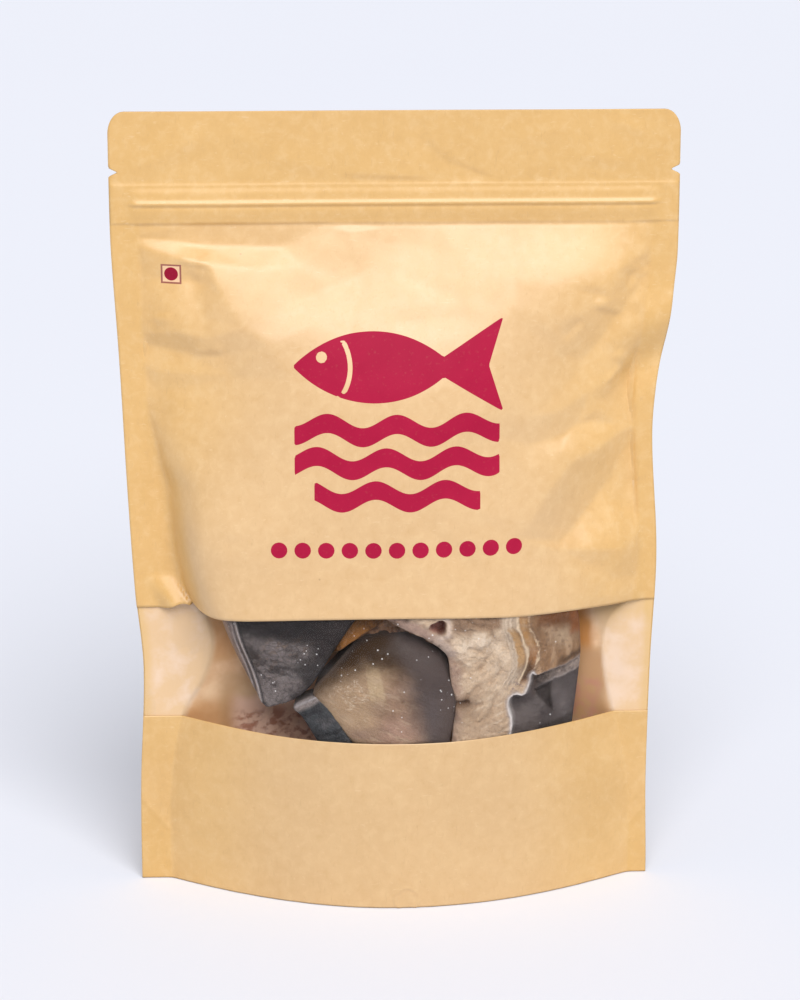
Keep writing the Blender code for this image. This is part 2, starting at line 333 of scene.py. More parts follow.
def ripple(x, z, wavelength, seed, count=9):
    """Sum of plane waves in seeded directions, about -1 to 1."""
    draw = np.random.RandomState(seed)
    total = np.zeros(np.broadcast(x, z).shape)
    for _ in range(count):
        angle, phase = draw.uniform(0, math.tau, 2)
        k = math.tau / (wavelength * draw.uniform(0.7, 1.5))
        total = total + np.sin(k * (x * math.cos(angle) + z * math.sin(angle)) + phase)
    return total / math.sqrt(count * 2)


# Fold lines of the upper panel, each point as (x, height, rise) in millimetres. The paper stays
# flat between them, as creased paper does.
FOLD_LINES = (
    ((-84, 198.6, 0), (-54.7, 198.8, 0), (-18, 198.9, 0), (12, 198.5, 0), (46, 198.4, 0),
     (84, 198.2, 0)),
    ((-75, 194.5, -0.3), (-64.6, 193.9, -1.1), (-54.8, 192.1, -1.8), (-31.5, 191.5, -1.9)),
    ((-84, 193.0, 0), (-75, 192.7, 0.2), (-68.8, 191.0, 0.5), (-61, 189.1, 0.9),
     (-52.6, 187.6, 1.0), (-38, 186.2, 0.6), (-26.7, 186.8, -0.6)),
    ((-52.6, 187.6, 1.0), (-48.7, 178.7, 1.3), (-42.9, 170.9, 1.9), (-35.9, 165.8, 1.5),
     (-29.9, 156.6, 0.4)),
    ((-70.3, 167.0, 0.3), (-61.3, 168.5, 0.9), (-53.1, 166.8, 0.7)),
    ((-70.4, 163.5, -1.2), (-60.8, 162.3, -1.5), (-48.9, 162.1, -1.1)),
    ((-48.9, 162.1, -1.1), (-46.2, 156.5, -0.5)),
    ((-16.9, 196.4, 0.1), (-12.1, 195.8, 0.3), (-4.8, 193.4, -0.6)),
    ((-4.8, 193.4, -0.6), (-3.6, 196.8, -0.2)),
    ((10.3, 191.1, -0.5), (10.9, 178.1, -0.3), (6.0, 168.0, -0.1)),
    ((17.5, 190.4, 0.2), (29.4, 185.4, 0.5), (46.4, 181.6, 1.0), (60.7, 183.4, 1.2), (75, 192.4, 0.4)),
    ((29.4, 185.4, 0.5), (30.5, 176, 0.5)),
    ((75.5, 188.4, -0.1), (69.4, 181.0, -1.3), (64.3, 173.4, -2.1), (58.0, 164.6, -2.2),
     (53.4, 160.0, -1.9), (45.5, 161.6, -0.7)),
    ((56.1, 175.9, 0.6), (61.8, 173.9, -1.4)),
    ((55.1, 150.2, -0.2), (59.6, 151.9, 0.0), (63.4, 155.8, -0.1), (67.4, 161.7, -0.1),
     (75, 168.1, 0.1)),
    ((57.0, 178.5, -0.2), (61.5, 176.6, 0.7), (65.0, 178.2, 0.1)),
    ((58.2, 146.8, -0.6), (67, 151.4, -1.9), (72.2, 157.0, -1.7), (77, 162.2, -0.3)),
    ((28.2, 140, -0.6), (37.7, 136.6, -1.3), (47.1, 138.1, -1.6), (51.7, 140.9, -1.8),
     (55.9, 141.3, -1.7), (63, 139.6, -0.6)),
    ((37.5, 129.5, 0.1), (47, 133.9, 0.6), (58.4, 133.7, 0.9), (64.4, 136.9, 0.1)),
    ((58.4, 133.7, 0.9), (49.5, 130.7, 1.1), (43.1, 123.3, 1.0), (38, 115.1, 0.7), (33.6, 110.6, 0)),
    ((65.6, 135.7, -0.7), (63.9, 129.1, -2.4), (62.2, 123.9, -3.2), (58.7, 119.7, -3.9),
     (53.7, 113.6, -4.0), (49.9, 109.4, -3.4), (47.2, 107.4, -2.3)),
    ((47.2, 107.4, -2.3), (47.6, 105.6, -0.3), (56, 104.5, 0.7), (65.2, 103.0, 1.2),
     (74.1, 102.4, 0.4)),
    ((58.7, 119.7, -3.9), (73.1, 119.7, -0.7)),
    ((55.6, 94.3, 0.5), (56.9, 90.0, 0.6)),
)
BETWEEN_FOLDS = (
    (-69, 183, -1.1), (-59, 182.5, -1.5), (-54, 183.0, -1.2), (-53.6, 172.5, -0.6), (-66.7, 155.9, 0.4),
    (-67.4, 150, -0.6), (-69.8, 144, 0.1), (-66.4, 139.3, -0.5), (-26.9, 178.1, -0.6),
    (-24.1, 171.6, 0.6), (-10, 184, -0.8), (1.3, 192.5, -0.6), (1.1, 178.3, 0.1), (57.8, 180.9, 1.4),
    (50.7, 172.2, 1.0), (64.2, 184.6, 0.4), (69.5, 175.5, -0.4), (63.9, 163.5, -0.5),
    (46.4, 145.6, 0.4), (57.6, 144.8, 0.1), (26, 147, 0.1), (38, 145, 0.3), (35, 156, 0),
    (49, 153, -0.7), (56.1, 99.4, -0.9), (71.3, 93.3, -0.4), (62, 94, -0.8), (-74, 87, 0),
    (-56.6, 88, 0), (-58.0, 92, 0), (-52, 89, 0), (-40, 88, 0), (-20, 88, 0), (0, 88, 0), (20, 88, 0),
    (40, 90, 0), (66, 88, 0), (-30, 110, 0), (0, 110, 0.1), (-30, 130, 0), (0, 135, 0), (20, 120, 0.1),
    (28, 100, 0), (-55, 108, 0), (-60, 125, 0), (-47, 142, 0.1), (-15, 152, -0.1), (15, 160, 0.1),
    (25, 172, 0.4), (-13, 168, 0), (74, 110, -0.2), (76, 140, 0), (76, 182, 0), (78, 150, 0),
    (-77, 180, 0), (-77, 160, 0), (-77, 120, 0), (78, 96, 0), (-84, 80, 0), (84, 80, 0), (-40, 80, 0),
    (0, 80, 0), (40, 80, 0), (-56.6, 80, 0), (-84, 140, 0), (84, 140, 0), (-84, 205, 0), (84, 205, 0),
)
RASTER = 0.4
RASTER_X = np.arange(-84.0, 84.01, RASTER)
RASTER_Z = np.arange(80.0, 200.01, RASTER)
FOLD_SOFTENING = 6


def folded_raster(lines, loose):
    """Rise on a fine raster: the points are joined into triangles that keep every fold line as an
    edge, and each triangle is a flat facet (its rise is linear in x and z)."""
    points, rises, edges = [], [], []
    for line in lines:
        for k, (x, z, rise) in enumerate(line):
            points.append(Vector((x, z)))
            rises.append(rise)
            if k:
                edges.append((len(points) - 2, len(points) - 1))
    for x, z, rise in loose:
        points.append(Vector((x, z)))
        rises.append(rise)
    corners, _, facets, sources, _, _ = delaunay_2d_cdt(points, edges, [], 0, 0.01)
    known = [(c, rises[made[0]]) for c, made in zip(corners, sources) if made]
    height = [rises[made[0]] if made else min(known, key=lambda pair: (pair[0] - c).length)[1]
              for c, made in zip(corners, sources)]
    grid = np.zeros((len(RASTER_Z), len(RASTER_X)))
    for facet in facets:
        (ax, az), (bx, bz), (cx, cz) = (corners[i] for i in facet)
        left, right = np.searchsorted(RASTER_X, (min(ax, bx, cx) - 1e-6, max(ax, bx, cx) + 1e-6))
        low, high = np.searchsorted(RASTER_Z, (min(az, bz, cz) - 1e-6, max(az, bz, cz) + 1e-6))
        x, z = RASTER_X[None, left:right], RASTER_Z[low:high, None]
        whole = (bx - ax) * (cz - az) - (cx - ax) * (bz - az)
        if abs(whole) < 1e-9:
            continue
        b = ((x - ax) * (cz - az) - (cx - ax) * (z - az)) / whole
        c = ((bx - ax) * (z - az) - (x - ax) * (bz - az)) / whole
        inside = (b >= -1e-6) & (c >= -1e-6) & (b + c <= 1 + 1e-6)
        value = height[facet[0]] * (1 - b - c) + height[facet[1]] * b + height[facet[2]] * c
        grid[low:high, left:right] = np.where(inside, value, grid[low:high, left:right])
    return grid


def blurred(grid, reach):
    """The raster averaged over a square window, twice along each axis."""
    for axis in (0, 1, 0, 1):
        pad = [(reach, reach) if k == axis else (0, 0) for k in (0, 1)]
        total = np.cumsum(np.pad(grid, pad, mode="edge"), axis=axis)
        total = np.insert(total, 0, 0.0, axis=axis)
        span = 2 * reach + 1
        upper = np.take(total, np.arange(span, total.shape[axis]), axis=axis)
        lower = np.take(total, np.arange(0, total.shape[axis] - span), axis=axis)
        grid = (upper - lower) / span
    return grid


crisp_folds = folded_raster(FOLD_LINES, BETWEEN_FOLDS)
soft_folds = blurred(crisp_folds, FOLD_SOFTENING)
soft_place = ((RASTER_X[None, :] - 36) / 26) ** 2 + ((RASTER_Z[:, None] - 186) / 11) ** 2
front_folds = soft_folds + (0.70 - 0.60 * np.exp(-soft_place)) * (crisp_folds - soft_folds)


def read_raster(grid, x, z):
    """Raster value at any place (mm), between its four nearest nodes."""
    column = np.clip((x - RASTER_X[0]) / RASTER, 0, grid.shape[1] - 1.001)
    row = np.clip((z - RASTER_Z[0]) / RASTER, 0, grid.shape[0] - 1.001)
    i, j = row.astype(int), column.astype(int)
    u, v = row - i, column - j
    return ((grid[i, j] * (1 - u) + grid[i + 1, j] * u) * (1 - v)
            + (grid[i, j + 1] * (1 - u) + grid[i + 1, j + 1] * u) * v)


def crumple(x, z, seed, count, rise, low, high, scale=1.0):
    """Many short seeded creases between two heights (mm), as handling leaves in paper."""
    draw = np.random.RandomState(seed)
    total = np.zeros(np.broadcast(x, z).shape)
    for _ in range(count):
        cx = draw.uniform(-72, 72)
        cz = draw.uniform(low, high)
        angle = draw.uniform(0, math.pi)
        half = draw.uniform(4, 13) * scale
        sides = draw.uniform(2.5, 8, 2) * scale
        size = draw.uniform(-1, 1) * rise * half / (9 * scale)
        dx, dz = half * math.cos(angle), half * math.sin(angle)
        total = total + crease(x, z, (cx - dx, cz - dz, cx + dx, cz + dz, sides[0], sides[1], size))
    return total


def sealed(x, z):
    """1 where front and back are bonded: header, zip band and the side strips outside the lift
    lines; 0 on the free panels."""
    sides = smooth(-0.0004, 0.0006, np.abs(x) - on_side(x, z, LEFT_LIFT, RIGHT_LIFT))
    return np.maximum(sides, smooth(HEADER_LOW, HEADER_LOW + 0.0010, z))


# soft folds of the header, in millimetres
HEADER_FOLDS = (
    (7.0, 227.0, 9.2, 219.5, 1.3, 6.0, -0.20), (8.6, 220.6, 15.5, 214.6, 1.2, 7.0, -0.32),
    (14.6, 215.4, 26.0, 210.8, 1.2, 6.0, -0.30), (-14.0, 212.6, 8.0, 211.4, 8.0, 1.6, 0.36),
    (-73.0, 214.0, -53.0, 223.2, 8.0, 4.5, 0.42), (-34.0, 217.0, -20.0, 213.6, 5.0, 3.0, 0.22),
    (61.0, 226.8, 70.0, 223.6, 3.0, 3.0, 0.26), (52.0, 217.0, 66.0, 215.6, 5.0, 3.0, 0.28),
    (-46.0, 224.5, -37.0, 219.0, 4.0, 5.0, 0.22), (33.0, 221.5, 47.0, 224.6, 5.0, 4.0, 0.22),
)


def sway(x, z):
    """The gentle wave of the bonded sheet and the header's soft folds, shared by everything in
    it (m)."""
    x, z = x * 1000, z * 1000
    ridge = np.exp(-(((z - 170.0 - 0.35 * (x - 72)) / 6.5) ** 2))
    valley = np.exp(-(((z - 156.5 - 0.60 * (x - 72)) / 6.0) ** 2))
    bend = 1.9 * smooth(56, 72, x) * (ridge - valley)
    for fold in HEADER_FOLDS:
        bend = bend + crease(x, z, fold) * smooth(209.2, 211.5, z)
    return ((0.30 * ripple(x, z, 70, 21) + 0.05 * ripple(x, z, 24, 22)) * smooth(40, 190, z) - bend) / 1000


# crisp short creases of the upper panel, in millimetres
SMALL_CREASES = (
    (56.6, 175.6, 64.0, 172.8, 2.8, 1.3, 0.85), (-61.0, 188.8, -52.0, 187.4, 3.4, 1.3, 0.75),
    (-68.0, 171.3, -63.5, 172.4, 1.5, 2.6, 0.60), (-58.8, 185.1, -54.7, 181.1, 1.8, 3.4, -0.55),
    (70.1, 187.9, 71.4, 184.3, 1.6, 3.0, -0.60), (67.4, 184.2, 64.6, 176.8, 1.8, 3.8, -0.85),
    (63.0, 160.5, 66.5, 156.0, 2.6, 1.5, 0.70), (52.0, 171.5, 47.5, 166.5, 1.8, 3.6, -0.70),
    (60.5, 152.5, 64.5, 156.4, 1.4, 2.6, 0.60), (-49.0, 164.0, -57.0, 162.6, 1.5, 3.0, 0.55),
)
# broad soft bends of the upper panel: (x of the middle, half width, lift) in millimetres
SOFT_BENDS = ((46, 18, 1.15), (-2, 20, -0.80), (-55, 9, 0.80))


def front_relief(x, z):
    """Folds, dents and soft waves of the front, in metres outwards; on the bonded strips only
    what stands up off them stays."""
    mx, mz = x * 1000, z * 1000
    total = read_raster(front_folds, mx, mz) * smooth(82, 85, mz)
    total = total + crumple(mx, mz, seed=4, count=46, rise=0.26, low=96, high=196)
    small = crumple(mx, mz, seed=14, count=70, rise=0.13, low=100, high=196, scale=0.42)
    total = total + small * smooth(24, 48, np.abs(mx))
    total = total + crumple(mx, mz, seed=9, count=12, rise=0.10, low=4, high=50)
    for fold in SMALL_CREASES:
        total = total + crease(mx, mz, fold)
    total = total + 0.16 * ripple(mx, mz, 34, 5) + 0.035 * ripple(mx, mz, 7, 6)
    leaning = sum(lift * np.exp(-(((mx - middle) / half) ** 2)) for middle, half, lift in SOFT_BENDS)
    total = total + leaning * smooth(199, 182, mz) * smooth(150, 176, mz)
    bond = sealed(x, z)
    free = total * (1 - bond)
    kept = np.maximum(total, 0) * bond * smooth(100, 95, mz)
    return (free + kept) / 1000


def zip_band(x, z):
    """The zip's ribs under the paper: they stop at the side seals, the score line doesn't."""
    inside = smooth(ZIP_STOP_OUTER, ZIP_STOP_INNER, np.abs(x))
    score = smooth(SCORE_LOW, SCORE_HIGH, z)
    step = 0.00030 * (1 - inside) * smooth(HEADER_LOW, HEADER_LOW + 0.0006, z) * (1 - score)
    edge = on_side(x, z, LEFT_EDGE, RIGHT_EDGE) - np.abs(x)
    return (eased(ZIP, z) * (inside * (1 - score) + score) + step) * smooth(0.0, 0.0007, edge)


def front_y(x, z):
    """Outer face of the front: seal, bulge, zip and folds added up, towards -Y."""
    return sway(x, z) - (HALF_SEAL + eased(BULGE, z) * lens(x, z) + zip_band(x, z) + front_relief(x, z))


def edge_inset(z):
    """How far the side edge steps in: the round corner at the top and the V-shaped tear notch."""
    above = np.clip(z - (HEIGHT - CORNER_HEIGHT), 0, CORNER_HEIGHT) / CORNER_HEIGHT
    corner = CORNER_WIDTH * (1 - np.sqrt(1 - above**2))
    return corner + NOTCH_DEPTH * np.clip(1 - np.abs(z - NOTCH_Z) / NOTCH_HALF, 0, 1)


def across(z, count):
    """X of evenly spaced columns from side edge to side edge at each height; the inset of
    corners and notches fades out over the width of the side seal."""
    left, right = -eased(LEFT_EDGE, z), eased(RIGHT_EDGE, z)
    s = np.linspace(0, 1, count)[None, :]
    x = left + (right - left) * s
    shift = edge_inset(z)
    near_left = np.clip(1 - (x - left) / FIN_FADE, 0, 1)
    near_right = np.clip(1 - (right - x) / FIN_FADE, 0, 1)
    return x + shift * near_left - shift * near_right


def level_grid(rows, count):
    """X and z of a panel's points: level rows at these heights, from side edge to side edge."""
    x = across(rows, count)
    return x, rows + 0 * x


def window_top(x):
    """Height of the paper's edge above the window, a little lower towards the sides, and lowest
    on the left side strip; it is cut a little higher where that corner lifts."""
    edge = WINDOW_TOP - WINDOW_SIDE_DROP * np.clip(np.abs(x) / 0.066, 0, 1) ** 2
    return edge - 0.0009 * smooth(-0.062, -0.068, x) + 0.0008 * np.exp(-(((x + 0.0615) / 0.0035) ** 2))


# where the spacing of rows changes: below the zip, at both ends of the notches, at the corners
ROW_BREAKS = (0.195, 0.2115, 0.2145, 0.224, HEIGHT)
NOTCH_SPACING, CORNER_SPACING = 0.00043, 0.00045


def panel_heights(low, body, zip_rows, header):
    """Row heights from a panel's lower edge to the top, with these spacings; the tear notches and
    the round corners have a close spacing of their own."""
    spans = zip((low, *ROW_BREAKS), ROW_BREAKS, (body, zip_rows, NOTCH_SPACING, header, CORNER_SPACING))
    rows = [np.arange(start, end - spacing * 0.3, spacing) for start, end, spacing in spans]
    return np.concatenate(rows + [np.array([HEIGHT])])


def paper_sheet(name, points, finish, floats):
    """A grid surface given the paper's thickness, inwards from its outer face."""
    obj = grid_mesh(name, points, finish, floats)
    wall = obj.modifiers.new("paper", "SOLIDIFY")
    wall.thickness = PAPER
    wall.offset = -1
    return obj


# ---- kraft finish ----
CRIMSON = (0.402, 0.0085, 0.046)
CRIMSON_DEEP = (0.365, 0.006, 0.040)
KRAFT_LIGHT = (0.725, 0.450, 0.172)
KRAFT_DARK = (0.670, 0.402, 0.140)
KRAFT_BONDED = (0.668, 0.392, 0.110)
KRAFT_PAINTED_SHEEN = (0.655, 0.436, 0.232)
KRAFT_FIBRE = (0.42, 0.235, 0.085)
SYMBOL_X, SYMBOL_Z = -0.0630, 0.1844
SYMBOL_HALF, SYMBOL_DOT = 0.00265, 0.00200
SYMBOL_BLUR = 0.0001


def symbol_shares(kraft, place):
    """The small square symbol as three shares: its rim, the field inside it and the round dot."""
    at_x, at_z = (kraft.add("ShaderNodeSeparateXYZ", None, {"Vector": place}, axis) for axis in "XZ")
    from_x, from_z = (at_x - SYMBOL_X).math("ABSOLUTE"), (at_z - SYMBOL_Z).math("ABSOLUTE")
    square = from_x.math("MAXIMUM", from_z * 1.04)
    disc = (from_x * from_x + from_z * from_z).math("SQRT")
    rim = kraft.step((square - SYMBOL_HALF).math("ABSOLUTE"), 0.00031, 0.00021)
    field = kraft.step(square, SYMBOL_HALF, SYMBOL_HALF - SYMBOL_BLUR)
    return rim, field, kraft.step(disc, SYMBOL_DOT, SYMBOL_DOT - SYMBOL_BLUR)


def kraft_finish(name, printed, shade=1.0):
    """Kraft paper: clouded pulp, fine crossing fibres, sparse dark flecks and the satin sheen
    of its film, with a painted sheen that turns it paler towards the middle of the panels
    and just below the zip. Bonded places are a shade yellower. The printed one adds ink where
    its signed distance is below zero."""
    kraft = Finish(name, {"Roughness": 0.42, "Specular IOR Level": 0.85})
    place = kraft.coords()
    cloud = kraft.noise(place, 46, 6, 0.66, 0.3)
    mottle = kraft.noise(place, 330, 4, 0.62, 0.4)
    fibres = 0.0
    for turn, pull in ((0.35, 1.0), (1.25, 1.3), (2.1, 0.8), (2.85, 1.1)):
        along = kraft.stretched(place, (2400 * pull, 2400, 420), (0, turn, 0))
        fibres = kraft.step(kraft.noise(along, 1.0, 1.5, 0.5, 0.8), 0.68, 0.76) + fibres
    pale = kraft.noise(kraft.stretched(place, (420, 2400, 1900), (0, 0.6, 0)), 1.0, 1.5, 0.5, 0.8)
    colour = kraft.layered(
        kraft.mix(kraft.step(cloud, 0.36, 0.66), KRAFT_DARK, KRAFT_LIGHT),
        # painted sheen: a paler colour where the lamp's sheen would fall
        (kraft.attribute("painted_sheen") * 0.62, KRAFT_PAINTED_SHEEN),
        (kraft.attribute("bonded") * 0.5, KRAFT_BONDED),
        (kraft.step(mottle, 0.42, 0.78) * 0.30, (0.81, 0.575, 0.30)),
        (kraft.step(mottle, 0.46, 0.24) * 0.30, (0.585, 0.345, 0.125)),
        (fibres * 0.15, KRAFT_FIBRE),
        (kraft.step(pale, 0.66, 0.76) * 0.22, (0.86, 0.65, 0.39)))
    if shade < 1.0:
        colour = kraft.mix(1.0, colour, (shade, shade, shade * 0.98), "MULTIPLY")
    fleck = kraft.add("ShaderNodeTexVoronoi", None, {"Vector": place, "Scale": 120.0, "Randomness": 1.0})
    fleck_reach = (kraft.noise(place, 83, 1) - 0.50) * 0.26
    ragged = kraft.noise(place, 2500, 1) * 0.02
    fleck_share = kraft.step(fleck + ragged - fleck_reach, 0.012, -0.006) * 0.40
    colour = kraft.mix(fleck_share, colour, (0.33, 0.17, 0.06))
    if printed:
        rim, field, dot = symbol_shares(kraft, place)
        colour = kraft.layered(colour, (field * 0.45, (0.95, 0.62, 0.45)), (rim * 0.90, (0.25, 0.045, 0.030)))
        ink = kraft.step(kraft.attribute("ink"), 0.00006, -0.00006).math("MAXIMUM", dot)
        worn = kraft.step(kraft.noise(place, 1100, 2), 0.26, 0.40, 0.97, 1.0)
        crimson = kraft.layered(CRIMSON_DEEP, (kraft.step(cloud, 0.3, 0.7), CRIMSON),
                                (dot * 0.8, (0.270, 0.006, 0.026)))
        kraft.coat(ink * worn, {"Roughness": 0.55, "Specular IOR Level": 0.12}, crimson)
    kraft.wire("Base Color", colour)
    kraft.wire("Roughness", kraft.step(mottle, 0.3, 0.7, 0.37, 0.47))
    kraft.bump(fibres * 0.35 + mottle * 0.8 + cloud, 0.00005, 0.5)
    return kraft


kraft_print = kraft_finish("kraft_printed", True)
kraft_plain = kraft_finish("kraft_plain", False, 0.93)


# the print, in millimetres
FISH_Z = 160.4
BODY_X, BODY_CENTRE_OFF, BODY_RADIUS = -6.5, 22.2, 31.7
TAIL_START, TAIL_END, TAIL_SLOPE = 9.0, 29.0, 0.62
EYE_X, EYE_Z, EYE_RADIUS = -21.0, 2.6, 1.55
GILL_X, GILL_RADIUS, GILL_HALF = -26.0, 13.0, 0.65
WAVE_LEVELS = (143.2, 133.8, 124.4)
WAVE_LENGTH, WAVE_SWING, WAVE_HALF, WAVE_REACH = 19.4, 1.9, 2.35, 28.9
DOT_COUNT, DOT_SPACING, DOT_RADIUS = 11, 6.66, 2.35
FIRST_DOT_X, DOT_ROW_Z = -33.4, 108.6


def fish_distance(x, z):
    """Signed distance to a plain fish: its body is where two circles overlap, its tail a notched
    wedge, and its eye and gill are left out of the ink."""
    z = z - FISH_Z
    body = np.maximum(np.hypot(x - BODY_X, z - BODY_CENTRE_OFF), np.hypot(x - BODY_X, z + BODY_CENTRE_OFF))
    tail = np.maximum((np.abs(z) - TAIL_SLOPE * (x - TAIL_START)) / 1.18,
                      x - TAIL_END + 0.32 * (9.5 - np.abs(z)))
    fish = np.minimum(body - BODY_RADIUS, np.maximum(tail, TAIL_START - x))
    gill = np.maximum(np.abs(np.hypot(x - GILL_X, z) - GILL_RADIUS) - GILL_HALF, np.abs(z) - 7.0)
    return np.maximum(np.maximum(fish, EYE_RADIUS - np.hypot(x - EYE_X, z - EYE_Z)), -gill)


def ink_distance(x, z):
    """Signed distance (m) to the ink: a fish over three waves, the last one shorter, and a row
    of dots."""
    x, z = x * 1000, z * 1000
    ink = fish_distance(x, z)
    for k, level in enumerate(WAVE_LEVELS):
        run = level + WAVE_SWING * np.cos(math.tau * (x + 3.0 * k) / WAVE_LENGTH)
        ends = np.abs(x - 0.1) - WAVE_REACH + 5.5 * (k == 2)
        ink = np.minimum(ink, np.maximum(np.abs(z - run) * 0.87 - WAVE_HALF, ends))
    for k in range(DOT_COUNT):
        ink = np.minimum(ink, np.hypot(x - FIRST_DOT_X - DOT_SPACING * k, z - DOT_ROW_Z) - DOT_RADIUS)
    return ink / 1000


def painted_sheen(x, z):
    """Share of the painted sheen, a paler colour that stands in for the lamp's sheen: 0 along
    the sides, 1 in the free middle of a panel, strong just below the zip, faint on the header.
    """
    header = (0.20 + 0.60 * smooth(0.1990, 0.1975, z)) * np.clip(1 - (x / 0.068) ** 2, 0, 1)
    return smooth(0.20, 0.85, lens(x, z)) * smooth(0.184, 0.165, z) + header * smooth(0.165, 0.184, z)


def lifted_corner(x, z):
    """Height (m) of the panel's lower left corner above the film: a flat facet that climbs towards
    the cut edge and to the right, and ends in a crease where the bag's wall begins."""
    x, z = x * 1000, z * 1000
    down = np.clip((95.0 - z) / 8.6, 0, 1.3)
    crease_x = -64.4 + 5.6 * down
    flat_from = -68.1 + 4.4 * down
    ramp = smooth(flat_from - 6.0, flat_from + 0.4, x)
    return 3.7 * down * ramp * smooth(crease_x + 0.5, crease_x - 0.4, x) / 1000


upper_rows = panel_heights(WINDOW_TOP, 0.00078, 0.00033, 0.0009)
upper_t = ((upper_rows - WINDOW_TOP) / (HEIGHT - WINDOW_TOP))[:, None]
upper_x = across(window_top(0.08) + (HEIGHT - window_top(0.08)) * upper_t, 204)
upper_z = window_top(upper_x) + (HEIGHT - window_top(upper_x)) * upper_t
upper_y = front_y(upper_x, upper_z) - lifted_corner(upper_x, upper_z)
upper = paper_sheet("front_upper", np.stack([upper_x, upper_y, upper_z], -1), kraft_print,
                    {"ink": ink_distance(upper_x, upper_z), "bonded": sealed(upper_x, upper_z),
                     "painted_sheen": painted_sheen(upper_x, upper_z)})
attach(upper, "root")
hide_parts("kraft_pouch")

# corner seals and the ring that the bag-making die leaves, in millimetres
SEAL_KNEE_LEFT, SEAL_KNEE_RIGHT = 66.6, 69.4
SEAL_KNEE_Z, SEAL_TOP_Z = 15.5, 26
SEAL_SLOPE, SEAL_SLOPE_LENGTH = 0.85, 1.31
RING_X, RING_Z, RING_RADIUS = 2.7, 2.6, 3.5


def stamp(x, z):
    """Pressed marks low on the front: a thin ring near its lower edge, and the edges of the
    corner seals, which rise straight and then slant outwards."""
    x, z = x * 1000, z * 1000
    ring = np.abs(np.hypot(x - RING_X, z - RING_Z) - RING_RADIUS)
    depth = 0.30 * np.exp(-(ring / 0.34) ** 2)
    for outward, knee in ((-x, SEAL_KNEE_LEFT), (x, SEAL_KNEE_RIGHT)):
        slant = np.abs((outward - knee) - (z - SEAL_KNEE_Z) * SEAL_SLOPE) / SEAL_SLOPE_LENGTH
        slant = np.where((z > SEAL_KNEE_Z) & (z < SEAL_TOP_Z), slant, 99)
        upright = np.where(z <= SEAL_KNEE_Z, np.abs(outward - knee), 99)
        depth = depth + 0.16 * np.exp(-(np.minimum(slant, upright) / 0.8) ** 2)
    return depth / 1000


def corner_seal(x, z):
    """1 in the two bottom corners outside the slanting seals."""
    mx, mz = np.abs(x) * 1000, z * 1000
    knee = np.where(x < 0, SEAL_KNEE_LEFT, SEAL_KNEE_RIGHT)
    return smooth(-0.3, 0.3, (mx - knee) - np.maximum(mz - SEAL_KNEE_Z, 0) * SEAL_SLOPE)


lower_x, lower_z = level_grid(WINDOW_LOW * np.linspace(0, 1, 118)[:, None], 330)
lower_y = front_y(lower_x, lower_z) - stamp(lower_x, lower_z)
lower_bonded = np.maximum(0.6 * sealed(lower_x, lower_z) * smooth(0.03, 0.045, lower_z),
                          corner_seal(lower_x, lower_z))
lower = paper_sheet("front_lower", np.stack([lower_x, lower_y, lower_z], -1), kraft_plain,
                    {"bonded": lower_bonded, "painted_sheen": painted_sheen(lower_x, lower_z)})
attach(lower, "root")
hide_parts("kraft_pouch")

# ==== Back of the pouch and the gusset ====
# One uncut kraft panel, sealed to the front along the sides and the header,
# and a third strip of the same paper folded in at the bottom, which spreads
# into the lens-shaped foot that the bag stands on.

# larger folds of the back, in millimetres
BACK_FOLDS = (
    (60, 128, 40, 100, 9, 16, -1.9), (-70, 176, -48, 158, 9, 7, -1.5),
    (-58, 92, -30, 84, 7, 7, 0.8), (68, 186, 46, 178, 6, 10, 0.9),
)


def back_y(x, z):
    """Outer face of the back: the front's bulge mirrored, with its own folds."""
    mx, mz = x * 1000, z * 1000
    folds = crumple(mx, mz, seed=31, count=46, rise=0.35, low=8, high=195) + 0.25 * ripple(mx, mz, 36, 8)
    folds = folds + sum(crease(mx, mz, fold) for fold in BACK_FOLDS)
    u = np.clip(np.abs(x) / on_side(x, z, LEFT_LIFT, RIGHT_LIFT), 0.0, 1.0)
    oval = (1 - u * u) ** LENS_POWER
    return (sway(x, z) + HALF_SEAL + eased(BULGE, z) * oval + zip_band(x, z)
            + folds * (1 - sealed(x, z)) * smooth(199, 196, mz) / 1000)


back_x, back_z = level_grid(panel_heights(0.0, 0.00118, 0.00040, 0.0012)[:, None], 190)
back_points = np.stack([back_x, back_y(back_x, back_z), back_z], -1)[:, ::-1]
back_at = (back_points[..., 0], back_points[..., 2])
back = paper_sheet("back_panel", back_points, kraft_plain,
                   {"bonded": sealed(*back_at), "painted_sheen": painted_sheen(*back_at)})
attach(back, "root")
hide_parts("kraft_pouch")

GUSSET_RISE, GUSSET_LOW = 0.0042, 0.0002
gusset_t = np.linspace(0, 1, 61)[:, None]
gusset_x, floor_level = level_grid(0 * gusset_t, 170)
gusset_near = front_y(gusset_x, floor_level) + PAPER
gusset_far = back_y(gusset_x, floor_level) - PAPER
gusset_y = gusset_near + (gusset_far - gusset_near) * gusset_t
gusset_rim = np.minimum(gusset_y - gusset_near, gusset_far - gusset_y)
gusset_z = GUSSET_RISE * smooth(0, 0.009, gusset_rim) + GUSSET_LOW
gusset_z = gusset_z - 0.0012 * np.exp(-((gusset_y / 0.0016) ** 2)) * smooth(0.0, 0.004, gusset_rim)
gusset_wave = 0.0003 * ripple(gusset_x * 1000, gusset_y * 1000, 22, 3)
gusset_z = gusset_z + gusset_wave * smooth(0.0, 0.01, gusset_rim)
gusset = grid_mesh("gusset", np.stack([gusset_x, gusset_y, gusset_z], -1)[::-1], kraft_plain)
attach(gusset, "root")
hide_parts("kraft_pouch")
